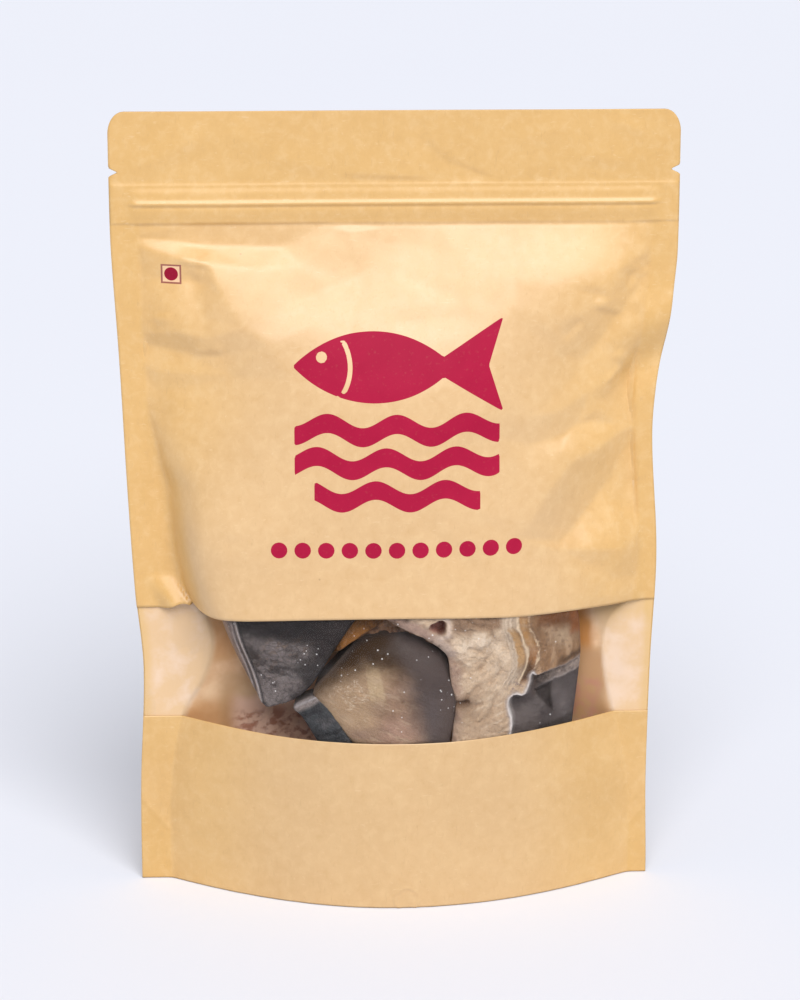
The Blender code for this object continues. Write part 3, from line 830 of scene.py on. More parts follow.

# ==== Inside of the back wall ====
# What shows past the food: the laminated inner face of the back panel, tan and
# slightly shiny, with the outside print showing through as reddish brown marks.
# Painted light lifts the shade on it under the pieces and below the right paper edge.
LINER_LOW, LINER_TOP = 0.012, 0.122
LINER_NARROWER = 1 - 0.0004 / 0.075
LINER_HOLLOW = 0.0085
LINER_GAP = 0.00012
liner_finish = Finish("inner_laminate", {"Roughness": 0.42, "Specular IOR Level": 0.4})
liner_place = liner_finish.coords()
liner_cloud = liner_finish.noise(liner_place, 85, 4, 0.6, 0.15)
liner_patches = liner_finish.noise(liner_finish.stretched(liner_place, (430, 400, 470)), 1.0, 2, 0.5, 0.2)
liner_tan = liner_finish.mix(liner_finish.step(liner_cloud, 0.35, 0.65),
                             (0.76, 0.46, 0.245), (0.93, 0.64, 0.385))
liner_strip = liner_finish.mix(liner_finish.step(liner_cloud, 0.42, 0.66),
                               (0.73, 0.50, 0.285), (0.79, 0.59, 0.43))
liner_colour = liner_finish.layered(
    liner_tan,
    (liner_finish.attribute("brown"), (0.58, 0.25, 0.066)),
    (liner_finish.attribute("shaded") * 0.75, (0.46, 0.262, 0.125)),
    # painted light: a pale colour that lifts the shade under the pieces, where the print shows through
    (liner_finish.attribute("show_through") * 0.85, (0.92, 0.61, 0.47)),
    (liner_finish.attribute("marks") * liner_finish.step(liner_patches, 0.40, 0.64), (0.52, 0.235, 0.150)),
    (liner_finish.attribute("pale"), liner_strip),
    (liner_finish.attribute("outer"), (0.70, 0.46, 0.20)))
liner_finish.wire("Base Color", liner_colour)
liner_finish.bump(liner_cloud, 0.0002, 0.4)

liner_x, liner_z = level_grid(np.linspace(LINER_LOW, LINER_TOP, 121)[:, None], 240)
liner_side = np.abs(liner_x / on_side(liner_x, liner_z, LEFT_EDGE, RIGHT_EDGE))
liner_x = liner_x * LINER_NARROWER
liner_reach = on_side(liner_x, liner_z, LEFT_LIFT, RIGHT_LIFT)
liner_deep = np.clip(1 - (np.abs(liner_x) / liner_reach) ** 2, 0, 1)
liner_y = sway(liner_x, liner_z) + 0.00003 + LINER_HOLLOW * liner_deep ** 0.9
liner_y = np.minimum(liner_y, back_y(liner_x, liner_z) - PAPER - LINER_GAP)
liner_warp = 0.0016 * ripple(liner_x * 1000, liner_z * 1000, 11, 33)
liner_wx, liner_wz = liner_x + liner_warp, liner_z + liner_warp


def patch(*edges):
    """1 inside a patch of the liner and 0 outside. Each edge is a place along x or z, the value
    where the patch is gone and the value where it is full."""
    share = 1.0
    for along, gone, full in edges:
        share = share * smooth(gone, full, along)
    return share


# painted light: the patch under the left and low pieces made pale against their shadow; the print's marks lie
# inside it
liner_show_through = patch((liner_wx, -0.050, -0.044), (liner_x, -0.012, -0.018),
                           (liner_wz, 0.0575, 0.054), (liner_z, 0.028, 0.034))
liner_marks = liner_show_through * patch((liner_wz, 0.0525, 0.0490)) + 0.75 * patch(
    (liner_x, 0.048, 0.051), (liner_wx, 0.0615, 0.0595), (liner_wz, 0.0640, 0.0610), (liner_z, 0.035, 0.040))
liner_brown = sum(depth * patch(*edges) for depth, *edges in (
    (0.55, (liner_x, -0.0555, -0.0545), (liner_x, -0.044, -0.047), (liner_wz, 0.0665, 0.0705)),
    (0.55, (liner_wz, 0.0595, 0.053), (liner_wx, -0.044, -0.050)),
    (1.00, (liner_wx, 0.0590, 0.0560), (liner_x, 0.045, 0.048), (liner_wz, 0.067, 0.0725)),
    (0.70, (liner_wx, 0.0640, 0.0600), (liner_x, 0.045, 0.048), (liner_wz, 0.0725, 0.067))))
liner_shaded = sum(depth * patch(*edges) for depth, *edges in (
    (1.0, (liner_x, 0.045, 0.050), (liner_x, 0.0650, 0.0605), (liner_z, 0.073, 0.068)),
    (0.6, (liner_x, -0.0535, -0.049), (liner_x, -0.036, -0.041), (liner_wz, 0.066, 0.060))))
# painted light: on the right, towards the top, the pale strip reaches further in to lift the paper edge's
# shadow
liner_pale_from = np.where(liner_x < 0, 0.075, 0.04 + 0.32 * smooth(0.073, 0.084, liner_z))
liner_pale = smooth(liner_pale_from, 0.0, liner_deep)
liner_outer = sum(depth * patch(*edges) for depth, *edges in (
    (0.8, (liner_side, 0.955, 0.995)), (0.6, (liner_x, 0.056, 0.060), (liner_z, 0.078, 0.083))))
liner = grid_mesh("inner_liner", np.stack([liner_x, liner_y, liner_z], -1), liner_finish,
                  {"shaded": liner_shaded, "show_through": liner_show_through, "marks": liner_marks,
                   "pale": liner_pale, "outer": np.clip(liner_outer, 0, 1),
                   "brown": np.clip(liner_brown, 0, 1) * (1 - liner_pale)})
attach(liner, "root")

# ==== Window film ====
# A clear laminate strip that runs behind both paper edges and across the side
# seals. It is glossy, faintly milky, and softly wrinkled where it lifts off.
FILM_LOW, FILM_TOP, FILM_GAP = 0.0470, 0.0925, 0.00006
film_finish = Finish("clear_film", {"Base Color": (0.36, 0.34, 0.34), "Roughness": 0.16, "IOR": 3.2})
film_place = film_finish.coords()
film_haze = film_finish.noise(film_place, 55, 4, 0.6, 1.2)
film_finish.wire("Alpha", film_finish.step(film_haze, 0.44, 0.76, 0.010, 0.048))
film_finish.bump(film_haze, 0.0005, 0.45)

film_x, film_z = level_grid(FILM_LOW + (FILM_TOP - FILM_LOW) * np.linspace(0, 1, 100)[:, None], 300)
film_wave = 0.00024 * ripple(film_x * 1000, film_z * 1000, 13, 12) * smooth(0.0, 0.3, lens(film_x, film_z))
film_wave = film_wave * smooth(WINDOW_LOW, 0.057, film_z) * smooth(0.0875, 0.081, film_z)
film_y = front_y(film_x, film_z) + PAPER + FILM_GAP - film_wave
film = grid_mesh("window_sheet", np.stack([film_x, film_y, film_z], -1), film_finish)
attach(film, "root")
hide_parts("window_film")

# ==== Dried shark pieces ====
# Chunks of dried shark sawn across the body: slate-grey skin as rough as fine
# sandpaper, pale cut rims, and brown to cream flesh that has shrunk into folds.


def rounded(corners):
    """Closed outline (mm) through a corner-cutting rule: each side gives two points, near its
    start and near its end, three times over."""
    points = np.array(corners, float)
    for _ in range(3):
        ahead = np.roll(points, -1, axis=0)
        points = np.stack([0.78 * points + 0.22 * ahead, 0.22 * points + 0.78 * ahead], 1).reshape(-1, 2)
    return points


def curved(corners, cuts=2):
    """Open line (mm) with its corners cut in the same way, its two ends kept."""
    points = np.array(corners, float)
    for _ in range(cuts):
        inner = np.stack([0.75 * points[:-1] + 0.25 * points[1:], 0.25 * points[:-1] + 0.75 * points[1:]], 1)
        points = np.concatenate([points[:1], inner.reshape(-1, 2), points[-1:]])
    return [tuple(point) for point in points]


def even(outline, count):
    """The outline again with evenly spaced points, starting at its first."""
    closed = np.concatenate([outline, outline[:1]])
    travelled = np.concatenate([[0.0], np.cumsum(np.hypot(*np.diff(closed, axis=0).T))])
    marks = np.linspace(0.0, travelled[-1], count, endpoint=False)
    return np.stack([np.interp(marks, travelled, closed[:, k]) for k in (0, 1)], -1)


def path_distance(x, z, path):
    """Distance (mm) from each point to a broken line."""
    nearest = np.full(np.broadcast(x, z).shape, 1e9)
    for (x0, z0), (x1, z1) in zip(path, path[1:]):
        dx, dz = x1 - x0, z1 - z0
        t = np.clip(((x - x0) * dx + (z - z0) * dz) / (dx * dx + dz * dz), 0, 1)
        nearest = np.minimum(nearest, np.hypot(x - x0 - t * dx, z - z0 - t * dz))
    return nearest


def inside_of(x, z, polygon):
    """Signed distance (mm) to a polygon, below zero inside it, by counting crossed sides."""
    odd = np.zeros(np.broadcast(x, z).shape, bool)
    for (x0, z0), (x1, z1) in zip(polygon, polygon[1:] + polygon[:1]):
        crosses = (z0 > z) != (z1 > z)
        at = x0 + (z - z0) * (x1 - x0) / ((z1 - z0) if z1 != z0 else 1e-9)
        odd = odd ^ (crosses & (x < at))
    gap = path_distance(x, z, list(polygon) + [polygon[0]])
    return np.where(odd, -gap, gap)


def beside(x, z, path):
    """How far (mm) a point lies to the right of a line that climbs steadily, measured level."""
    points = np.array(sorted(path, key=lambda point: point[1]))
    return x - np.interp(z, points[:, 1], points[:, 0])


def spot(x, z, cx, cz, rx, rz, turn=0.0):
    """1 at the middle of a soft oval and 0 outside it."""
    c, s = math.cos(turn), math.sin(turn)
    u = ((x - cx) * c + (z - cz) * s) / rx
    v = ((z - cz) * c - (x - cx) * s) / rz
    return np.exp(-(u * u + v * v) * 1.4)


def fractal(x, z, wavelength, seed, layers=4):
    """Ripples of halving wavelength and shrinking weight added up, about -1 to 1."""
    return sum(ripple(x, z, wavelength / 2**k, seed + 100 * k, 7) * 0.62**k for k in range(layers)) / 1.5


def cells(x, z, size, seed):
    """Gap between the distances to the nearest and next nearest of points scattered one to a
    square, in squares: 0 along the borders between lumps, up to about 1 inside them."""
    jitter = np.random.RandomState(seed).uniform(0.1, 0.9, (32, 32, 2))
    x, z = x / size, z / size
    column, row = np.floor(x).astype(int), np.floor(z).astype(int)
    first, second = np.full(x.shape, 9.0), np.full(x.shape, 9.0)
    for i in (column - 1, column, column + 1):
        for j in (row - 1, row, row + 1):
            place = jitter[i % 32, j % 32]
            gap = np.hypot(x - i - place[..., 0], z - j - place[..., 1])
            second = np.minimum(np.maximum(gap, first), second)
            first = np.minimum(gap, first)
    return second - first


def line(gap, width):
    """1 on a line and 0 a few widths away from it."""
    return np.exp(-((gap / width) ** 2))


def painted(colour, *layers):
    """A base colour with others laid over it in turn, each given as (colour, share). The base is
    one colour, or a grid of colours that is painted already."""
    colour = np.asarray(colour, float)
    for over, share in layers:
        colour = colour + (np.asarray(over) - colour) * np.clip(share, 0, 1)[..., None]
    return colour


def chunk(name, node, corners, finish, around, relief, paint, round_off, standoff, thick,
          shoulder=6.0, centre=None):
    """One piece on a polar grid over its outline: the front follows the film at a standoff, adds
    relief, and turns over the edge like a superellipse; the last rings close the back.
    relief(x, z) and paint(x, z, edge) work in millimetres."""
    outline = even(rounded(corners), around)
    middle = outline.mean(0) if centre is None else np.array(centre)
    radial = around // 4
    share = np.concatenate([np.linspace(0.002, 0.86, radial),
                            1 - 0.14 * np.linspace(1, 0, radial // 2 + 1)[1:] ** 1.6])
    front = middle + share[:, None, None] * (outline - middle)
    x, z = front[..., 0], front[..., 1]
    turn_over = round_off * (1 - (1 - share[:, None] ** shoulder) ** (1 / 2.2))
    depth = np.maximum(standoff + turn_over - relief(x, z), 0.25)
    y = front_y(x / 1000, z / 1000) * 1000 + PAPER * 1000 + depth
    rim_x, rim_z, rim_y = x[-1], z[-1], y[-1]
    wall = back_y(rim_x / 1000, rim_z / 1000) * 1000 - 1.2
    last_y = np.minimum(rim_y + thick, np.maximum(wall, rim_y + 0.4))
    closing = [(1 - 0.06 * part, rim_y + (last_y - rim_y) * part) for part in (0.25, 0.5, 0.75, 1.0)]
    closing += [(inward, last_y.mean() + 0 * rim_y) for inward in (0.6, 0.002)]
    rings = [np.stack([x, y, z], -1)]
    for inward, ring_y in closing:
        ring_x = middle[0] + inward * (rim_x - middle[0])
        ring_z = middle[1] + inward * (rim_z - middle[1])
        rings.append(np.stack([ring_x, ring_y, ring_z], -1)[None])
    points = np.concatenate(rings)
    edge = np.concatenate([share, np.ones(len(closing)) * 1.05])[:, None] + 0 * points[..., 0]
    colours = paint(points[..., 0], points[..., 2], edge)
    points = np.concatenate([points, points[:, :1]], 1) / 1000
    colours = np.concatenate([colours, colours[:, :1]], 1)
    obj = grid_mesh(name, points, finish, colours={"tint": np.clip(colours, 0, 1)})
    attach(obj, "root")
    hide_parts(node)


def shark_finish(name, roughness, shine, grain, salted, gloss, pores):
    """Dried shark: the painted tint varied by fine grain and darker pores, with a few white
    grains of salt. Damp-looking places shine more."""
    finish = Finish(name, {"Roughness": roughness, "Specular IOR Level": shine, "Coat Roughness": 0.22})
    place = finish.coords()
    fine = finish.noise(place, 1900, 4, 0.7)
    broad = finish.noise(place, 420, 5, 0.68, 0.6)
    tint = finish.attribute("tint", "Color")
    darker = finish.mix(1.0, tint, (0.40, 0.36, 0.34), "MULTIPLY")
    paler = finish.mix(1.0, tint, (1.75, 1.70, 1.65), "MULTIPLY")
    pore = finish.add("ShaderNodeTexVoronoi", None, {"Vector": place, "Scale": 1500.0})
    salt = finish.add("ShaderNodeTexVoronoi", None, {"Vector": place, "Scale": 480.0})
    salt_zone = finish.step(finish.noise(place, 75, 2), 0.50, 0.56)
    colour = finish.layered(
        tint,
        (finish.step(fine, 0.62, 0.30) * grain, darker),
        (finish.step(broad, 0.50, 0.30) * grain, darker),
        (finish.step(broad, 0.54, 0.74) * grain, paler),
        (finish.step(pore, 0.30, 0.16) * pores, darker),
        (finish.step(salt, 0.135, 0.088) * salt_zone * salted, (0.80, 0.78, 0.76)))
    finish.wire("Base Color", colour)
    finish.wire("Roughness", finish.step(broad, 0.3, 0.7, roughness - 0.12, roughness + 0.12))
    finish.wire("Coat Weight", finish.step(finish.noise(place, 190, 3), 0.5, 0.72, 0.0, gloss))
    finish.bump(fine * 0.7 + broad * 1.6 + finish.step(pore, 0.0, 0.4) * (pores * 0.6), 0.00026, 0.8)
    return finish


skin_finish = shark_finish("shark_skin", 0.55, 0.22, 0.50, 0.9, 0.10, 0.6)
flesh_finish = shark_finish("shark_flesh", 0.52, 0.12, 0.22, 0.7, 0.08, 0.12)

# ---- left piece: a wedge of dark skin with its sawn edge towards the left ----
LEFT_OUTLINE = ((-51.8, 93), (-5.6, 94), (-12.4, 87.0), (-18.6, 77.6), (-24.0, 67.2), (-29, 61.6),
                (-36.5, 58.2), (-38.8, 58.4), (-44.3, 68.5), (-48.7, 80))
LEFT_LINE = curved(((-47.4, 96), (-46.2, 86.5), (-44.9, 80.2), (-43.1, 74.5), (-41.0, 68.0),
                    (-39.5, 61.5), (-38.6, 56.0)))


def left_scales(x, z):
    """The skin's fine lumps: 0 in the cracks between them."""
    return cells(x + 0.5 * ripple(x, z, 4, 46), z, 1.9, 45)


def left_relief(x, z):
    inner = beside(x, z, LEFT_LINE)
    bevel = np.minimum(inner, 0) * 0.42
    cut = (0.38 * line(inner, 0.30) - 0.40 * line(inner + 0.85, 0.35)
           + 0.26 * line(inner + 1.55, 0.28) * smooth(86, 79, z) - 0.30 * line(inner - 0.75, 0.4))
    hide = 0.24 * fractal(x, z, 9, 41) + 0.50 * ripple(x, z, 19, 42)
    pits = 0.12 * smooth(0.0, 0.35, left_scales(x, z))
    return bevel + cut + (hide + pits) * smooth(-0.5, 1.5, inner)


def left_paint(x, z, edge):
    inner = beside(x, z, LEFT_LINE)
    cloud = fractal(x, z, 11, 43, 5)
    speckled = spot(x, z, -30, 80.5, 9, 5) + 0.5 * spot(x, z, -38, 72, 7, 8)
    streak = 0.5 + 0.5 * fractal(x * 2.6 + z * 1.0, z * 0.35, 5, 49)
    strip = painted(
        (0.175, 0.135, 0.122),
        ((0.33, 0.265, 0.240), smooth(0.35, 0.9, streak)),
        ((0.30, 0.185, 0.125), 0.7 * smooth(-1.8, -3.4, inner)),
        # painted shade in the groove between the two pale ridges of the cut edge
        ((0.065, 0.052, 0.050), 0.85 * line(inner + 0.85, 0.32)),
        ((0.46, 0.40, 0.38), 0.85 * line(inner + 1.55, 0.25) * smooth(86, 79, z)))
    return painted(
        (0.088, 0.075, 0.070),
        ((0.188, 0.158, 0.149), smooth(-0.1, 0.9, cloud + 1.6 * spot(x, z, -37, 68, 8, 9))),
        ((0.046, 0.036, 0.033), 0.8 * smooth(0.0, 0.9, -cloud + 0.4 * ripple(x, z, 3, 47))),
        ((0.20, 0.135, 0.095), 0.70 * smooth(0.15, 0.7, fractal(x, z, 3.0, 44)) * speckled),
        ((0.035, 0.029, 0.030), 0.55 * smooth(0.13, 0.0, left_scales(x, z))),
        # painted shadow: near black towards the top, under the paper's edge
        ((0.012, 0.009, 0.009), smooth(77.0, 84.5, z + 0.14 * (x + 30) + 1.2 * ripple(x, z, 9, 48)) * 0.95),
        ((0.022, 0.016, 0.015), 0.90 * smooth(-29, -20, x - 0.30 * (z - 80) + 1.5 * ripple(x, z, 8, 68))),
        (strip, smooth(0.25, -0.25, inner)),
        # painted shade in the groove just inside the cut edge
        ((0.040, 0.034, 0.034), 0.75 * line(inner - 0.75, 0.35)),
        ((0.50, 0.45, 0.43), 0.9 * line(inner, 0.27) * smooth(88, 84, z)),
        # painted shade where the rim turns back into the crevice beside the other pieces
        ((0.022, 0.018, 0.018), smooth(0.93, 1.02, edge) * 0.75 * smooth(-34, -28, x)))


chunk("shark_left", "shark_piece_left", LEFT_OUTLINE, skin_finish, 380, left_relief, left_paint,
      round_off=1.8, standoff=1.0, thick=9, shoulder=12)

# ---- thin orange-brown strip standing between the left and middle pieces ----
SLIVER_OUTLINE = ((-12, 94), (3, 94), (-0.6, 87.6), (-6.2, 84.6), (-12.2, 81.2), (-18.4, 76.2), (-17.6, 80.0),
                  (-15.4, 84.0))


def sliver_relief(x, z):
    crest = spot(x, z, -12, 80.6, 8, 1.5, 0.55)
    return 0.35 * fractal(x, z, 5, 51) + crest - 0.12 * np.maximum(x + 12, 0)


def sliver_paint(x, z, edge):
    above = (z - 77.5) - 0.72 * (x + 18)
    return painted(
        (0.210, 0.088, 0.024),
        ((0.105, 0.045, 0.014), smooth(-0.3, 0.7, fractal(x, z, 5, 52))),
        ((0.125, 0.054, 0.015), smooth(0.0, 3.4, above + 0.6 * ripple(x, z, 4, 53))),
        ((0.075, 0.038, 0.020), smooth(-10, -1, x)),
        # painted shade where the rim turns back between the pieces
        ((0.035, 0.020, 0.012), smooth(0.90, 1.02, edge) * 0.8))


chunk("shark_sliver", "shark_piece_sliver", SLIVER_OUTLINE, flesh_finish, 180,
      sliver_relief, sliver_paint, round_off=1.5, standoff=3.0, thick=7)

# ---- dark piece behind the top of the middle ----
BEHIND_OUTLINE = ((-8, 95), (14, 95), (16, 84), (13, 74), (-2, 76), (-14, 78))


def behind_relief(x, z):
    return 0.7 * fractal(x, z, 7, 61)


def behind_paint(x, z, edge):
    cloud = fractal(x, z, 5, 62)
    return painted(
        (0.22, 0.115, 0.062),
        ((0.075, 0.040, 0.024), smooth(-0.1, 0.8, cloud)),
        ((0.16, 0.10, 0.065), 0.6 * smooth(0.3, 0.9, -cloud)))


chunk("shark_behind", "shark_piece_behind", BEHIND_OUTLINE, skin_finish, 160,
      behind_relief, behind_paint, round_off=2, standoff=6.0, thick=5)

# ---- middle piece: domed, dark skin and painted shade over the top, dark skin on the right, flesh face at the left ----
CENTRE_OUTLINE = ((-25.2, 64.6), (-17.2, 74.2), (-11.5, 80.8), (-5, 83.8), (4.4, 83.4), (10.4, 80.1),
                  (14.7, 76.6), (15.3, 69.1), (17.6, 62.7), (15.4, 51.6), (14, 43), (-8, 43),
                  (-13.6, 51.6), (-21.6, 61.2))
FACE_EDGE = curved(((-28, 58.0), (-23.2, 64.6), (-18.4, 69.0), (-14.4, 71.8), (-8.2, 73.8), (-2.7, 73.8),
                    (2.2, 72.2), (6.5, 69.5), (10, 64)))
SKIN_EDGE = curved(((12.2, 46), (11.0, 52.6), (7.9, 60.0), (6.8, 66.0), (6.8, 72.0), (4.2, 78.0), (2.0, 84)))
# low facets of the cut face, in millimetres
CENTRE_FACETS = (
    (-21, 66.5, -9, 74.5, 3, 6, 0.55), (1, 62, 9, 52, 4, 5, 0.6),
    (8.2, 74, 9.5, 58, 4, 4, 0.7), (-8.0, 73, -5.5, 62, 3, 4, 0.35),
)


def centre_fibres(x, z):
    """Torn flesh fibres, about -1 to 1, and the share of the face where they stand up."""
    return fractal(x * 0.9, z * 1.1, 3.4, 72), spot(x, z, -12.5, 65.5, 8, 6.5)


def centre_relief(x, z):
    dome = -4.8 * smooth(74, 85.5, z + 0.021 * (x + 3) ** 2) ** 1.3
    facet = sum(crease(x, z, fold) for fold in CENTRE_FACETS)
    torn, rough = centre_fibres(x, z)
    grain = 0.16 * fractal(x * 0.5 + z * 0.9, (z - x) * 0.25, 5, 77)
    return dome + facet + 0.22 * np.abs(torn) * rough + grain + 0.40 * ripple(x, z, 14, 71)


def centre_paint(x, z, edge):
    cloud = fractal(x, z, 12, 73, 5)
    face = smooth(0.5, -7.0, x - 0.28 * (z - 68) + 1.0 * ripple(x, z, 7, 78))
    stroke_left = smooth(-8.6, -8.0, x + 0.15 * (z - 68))
    stroke = stroke_left * smooth(-3.6, -4.6, x + 0.2 * (z - 68)) * smooth(62, 66, z)
    streak = fractal(x * 0.35 + z * 1.0, (x * 0.8 - z * 0.3) * 0.30, 3.4, 79)
    torn, rough = centre_fibres(x, z)
    vein = line(torn, 0.11) * smooth(0.45, 0.85, rough + 0.45 * ripple(x, z, 4, 81))
    dimples = 0.75 * spot(x, z, -10.6, 53.6, 5.0, 2.6) + 0.3 * spot(x, z, -6.2, 62.0, 2.5, 3.5)
    above = path_distance(x, z, FACE_EDGE) * np.where(z > np.interp(x, *np.array(FACE_EDGE).T), 1, -1)
    right = beside(x, z, SKIN_EDGE)
    return painted(
        (0.290, 0.182, 0.120),
        ((0.195, 0.118, 0.074), smooth(-0.3, 0.8, cloud)),
        ((0.40, 0.250, 0.185), 0.7 * spot(x, z, 0, 55, 9, 5)),
        ((0.205, 0.130, 0.098), 0.95 * spot(x, z, -11.5, 53.4, 6, 3.2)),
        ((0.385, 0.262, 0.158), 0.85 * face),
        ((0.47, 0.345, 0.205), 0.7 * stroke),
        ((0.45, 0.330, 0.225), 0.40 * smooth(0.15, 0.8, streak) * smooth(74, 70, z)),
        ((0.66, 0.55, 0.42), 0.60 * vein),
        ((0.235, 0.155, 0.095), 0.5 * smooth(0.3, 0.9, fractal(x, z, 2.6, 80)) * rough),
        ((0.240, 0.152, 0.112), dimples),
        # dark skin over the dome's top, deepened by painted shade that turns near black under the paper's
        # edge
        ((0.085, 0.050, 0.028), 0.93 * smooth(-5.0, 2.4, above + 0.6 * fractal(x, z, 7, 75))),
        ((0.032, 0.015, 0.005), 0.95 * smooth(-1.4, 4.2, above + 0.9 * fractal(x, z, 6, 82))),
        ((0.082, 0.061, 0.055), 0.95 * smooth(-8.5, 1.2, right + 0.6 * fractal(x, z, 6, 76))),
        ((0.090, 0.072, 0.072), 0.5 * spot(x, z, 10.0, 60, 3, 8)),
        # painted shade along the upper rim, in the crevice beside the neighbouring pieces
        ((0.040, 0.032, 0.030), 0.8 * smooth(0.88, 1.0, edge) * smooth(70, 76, z)),
        ((0.13, 0.095, 0.075), smooth(0.95, 1.0, edge) * 0.45))


chunk("shark_centre", "shark_piece_centre", CENTRE_OUTLINE, flesh_finish, 400,
      centre_relief, centre_paint, round_off=2.4, standoff=0.8, thick=12, shoulder=7)

# ---- low piece: blue-grey skin with a pale rounded rim at its upper end ----
LOW_OUTLINE = ((-30.2, 59.0), (-28.8, 60.8), (-23.4, 64.0), (-20.8, 62.0), (-12.4, 50.6), (-9, 43), (-20, 43),
               (-22.6, 49.6), (-27.4, 57.4))
LOW_RIM = curved(((-29.2, 59.9), (-27.4, 60.9), (-25.4, 62.0), (-23.4, 63.4)))


def low_relief(x, z):
    return 0.25 * fractal(x, z, 6, 81) + 0.5 * line(path_distance(x, z, LOW_RIM), 0.6)


def low_paint(x, z, edge):
    cloud = fractal(x, z, 6, 82)
    rim = path_distance(x, z, LOW_RIM)
    return painted(
        (0.046, 0.048, 0.051),
        ((0.026, 0.026, 0.028), smooth(-0.2, 0.8, cloud)),
        ((0.080, 0.072, 0.074), 0.6 * smooth(0.2, 0.8, -cloud)),
        ((0.24, 0.20, 0.185), 0.90 * smooth(2.3, 0.8, rim)),
        ((0.33, 0.30, 0.30), 0.8 * line(rim, 0.35)))


chunk("shark_low", "shark_piece_low", LOW_OUTLINE, skin_finish, 220, low_relief, low_paint,
      round_off=1.4, standoff=1.6, thick=8)

# ---- right piece: folded cream flesh, a dark hollow, growth-like ridges and a flap of skin ----
RIGHT_OUTLINE = ((-7.5, 94), (-3.0, 87.2), (2.9, 84.8), (7.0, 82.4), (11.0, 80.0), (14.7, 76.6), (15.1, 69.1),
                 (17.1, 62.3), (15.7, 52.0), (15.3, 43), (32, 43), (51.0, 44), (52.0, 52), (53.4, 62),
                 (54.2, 71), (53.4, 82), (51, 94), (28, 94))
RIM_PATH = curved(((32.4, 43), (32.9, 50.6), (33.4, 55.0), (32.3, 58.4), (32.2, 61.6), (34.2, 62.9),
                   (36.9, 61.8), (38.3, 64.5), (39.1, 68.9), (40.5, 67.2), (43.4, 67.8), (48.9, 68.7),
                   (54.4, 70.6)), 1)
SKIN_FIELD = RIM_PATH + [(60, 72), (60, 40), (32.4, 40)]
HOLLOW = (11.9, 85.2)
CLEFT, CLEFT_SHADE = ((16.4, 61.9), (20.0, 62.1)), ((16.2, 61.9), (20.0, 62.1))
PALE_SIDE = curved(((-5, 92.5), (-1.0, 88.0), (4.4, 85.4), (8.4, 83.2), (12.4, 80.8), (15.4, 77.8)))
SKIN_WEDGE = [(40.2, 62.3), (44.9, 63.6), (45.6, 54.6)]
FLESH_CREASES = tuple(curved(path) for path in (
    ((16.6, 73.8), (19.1, 73.2), (21.4, 71.9), (23.7, 72.2), (25.2, 75.2)),
    ((17.0, 86.6), (18.6, 84.0), (21.4, 83.4)), ((20.4, 87.4), (22.6, 84.8), (25.6, 85.2), (27.0, 83.0)),
    ((20.4, 78.8), (23.6, 77.6), (26.2, 79.6), (27.4, 82.4)), ((18.5, 62.0), (20.4, 63.8), (22.8, 66.4)),
    ((18.5, 61.9), (21.6, 60.8), (24.4, 61.6)), ((18.2, 61.4), (20.2, 58.8), (23.4, 55.6)),
    ((24.6, 55.6), (27.6, 58.6), (28.8, 63.2)), ((26.4, 67.6), (29.0, 69.6), (29.6, 73.4))))
# places across the growth ridges (mm): the bright inner ridge, the rust groove and the outer ridge
INNER_RIDGE, GROOVE, OUTER_RIDGE = 34.1, 35.8, 37.5


def growth(x, z):
    """Place across the growth ridges (mm): x with the ridges' bow to the right taken out."""
    return x - 3.7 * np.exp(-(((z - 74.2) / 7.4) ** 2)) + 0.42 * fractal(x, z, 8, 90)


def growth_lines(x, z, rings):
    """Fine lines that follow the ridges, about -1 to 1, strong in some places and weak in others."""
    wave = np.sin(math.tau * (rings + 0.22 * fractal(x, z, 2.6, 69)) / 1.18)
    return wave * (0.5 + 0.6 * fractal(x, z, 4, 78))


def outer_ridge(x, z, rings, width):
    """1 on the wavering outer ridge and 0 a few widths away."""
    return line(rings - OUTER_RIDGE + 0.4 * fractal(x, z, 2.4, 56), width)


def flesh_warp(x, z):
    return x + 1.0 * fractal(x, z, 9, 91), z + 1.0 * fractal(x, z, 9, 92)


def flesh_lumps(wx, wz):
    """Broad folds of the shrunken flesh: 0 along the furrows between them."""
    return cells(wx * 1.1, wz * 0.8, 6.0, 94)


def hollow_distance(x, z):
    """Distance (mm) from the middle of the hollow, bent so that the hollow is a rounded triangle."""
    dx, dz = x - HOLLOW[0], z - HOLLOW[1]
    return np.hypot(dx / 1.15, dz) + 0.30 * np.cos(3 * np.arctan2(dz, dx)) + 0.12 * ripple(x, z, 3, 98)


def wedge_distance(x, z):
    """Signed distance (mm) to the dark wedge in the flap of skin, below zero inside it."""
    return inside_of(x + 0.3 * ripple(x, z, 5, 74), z, SKIN_WEDGE)


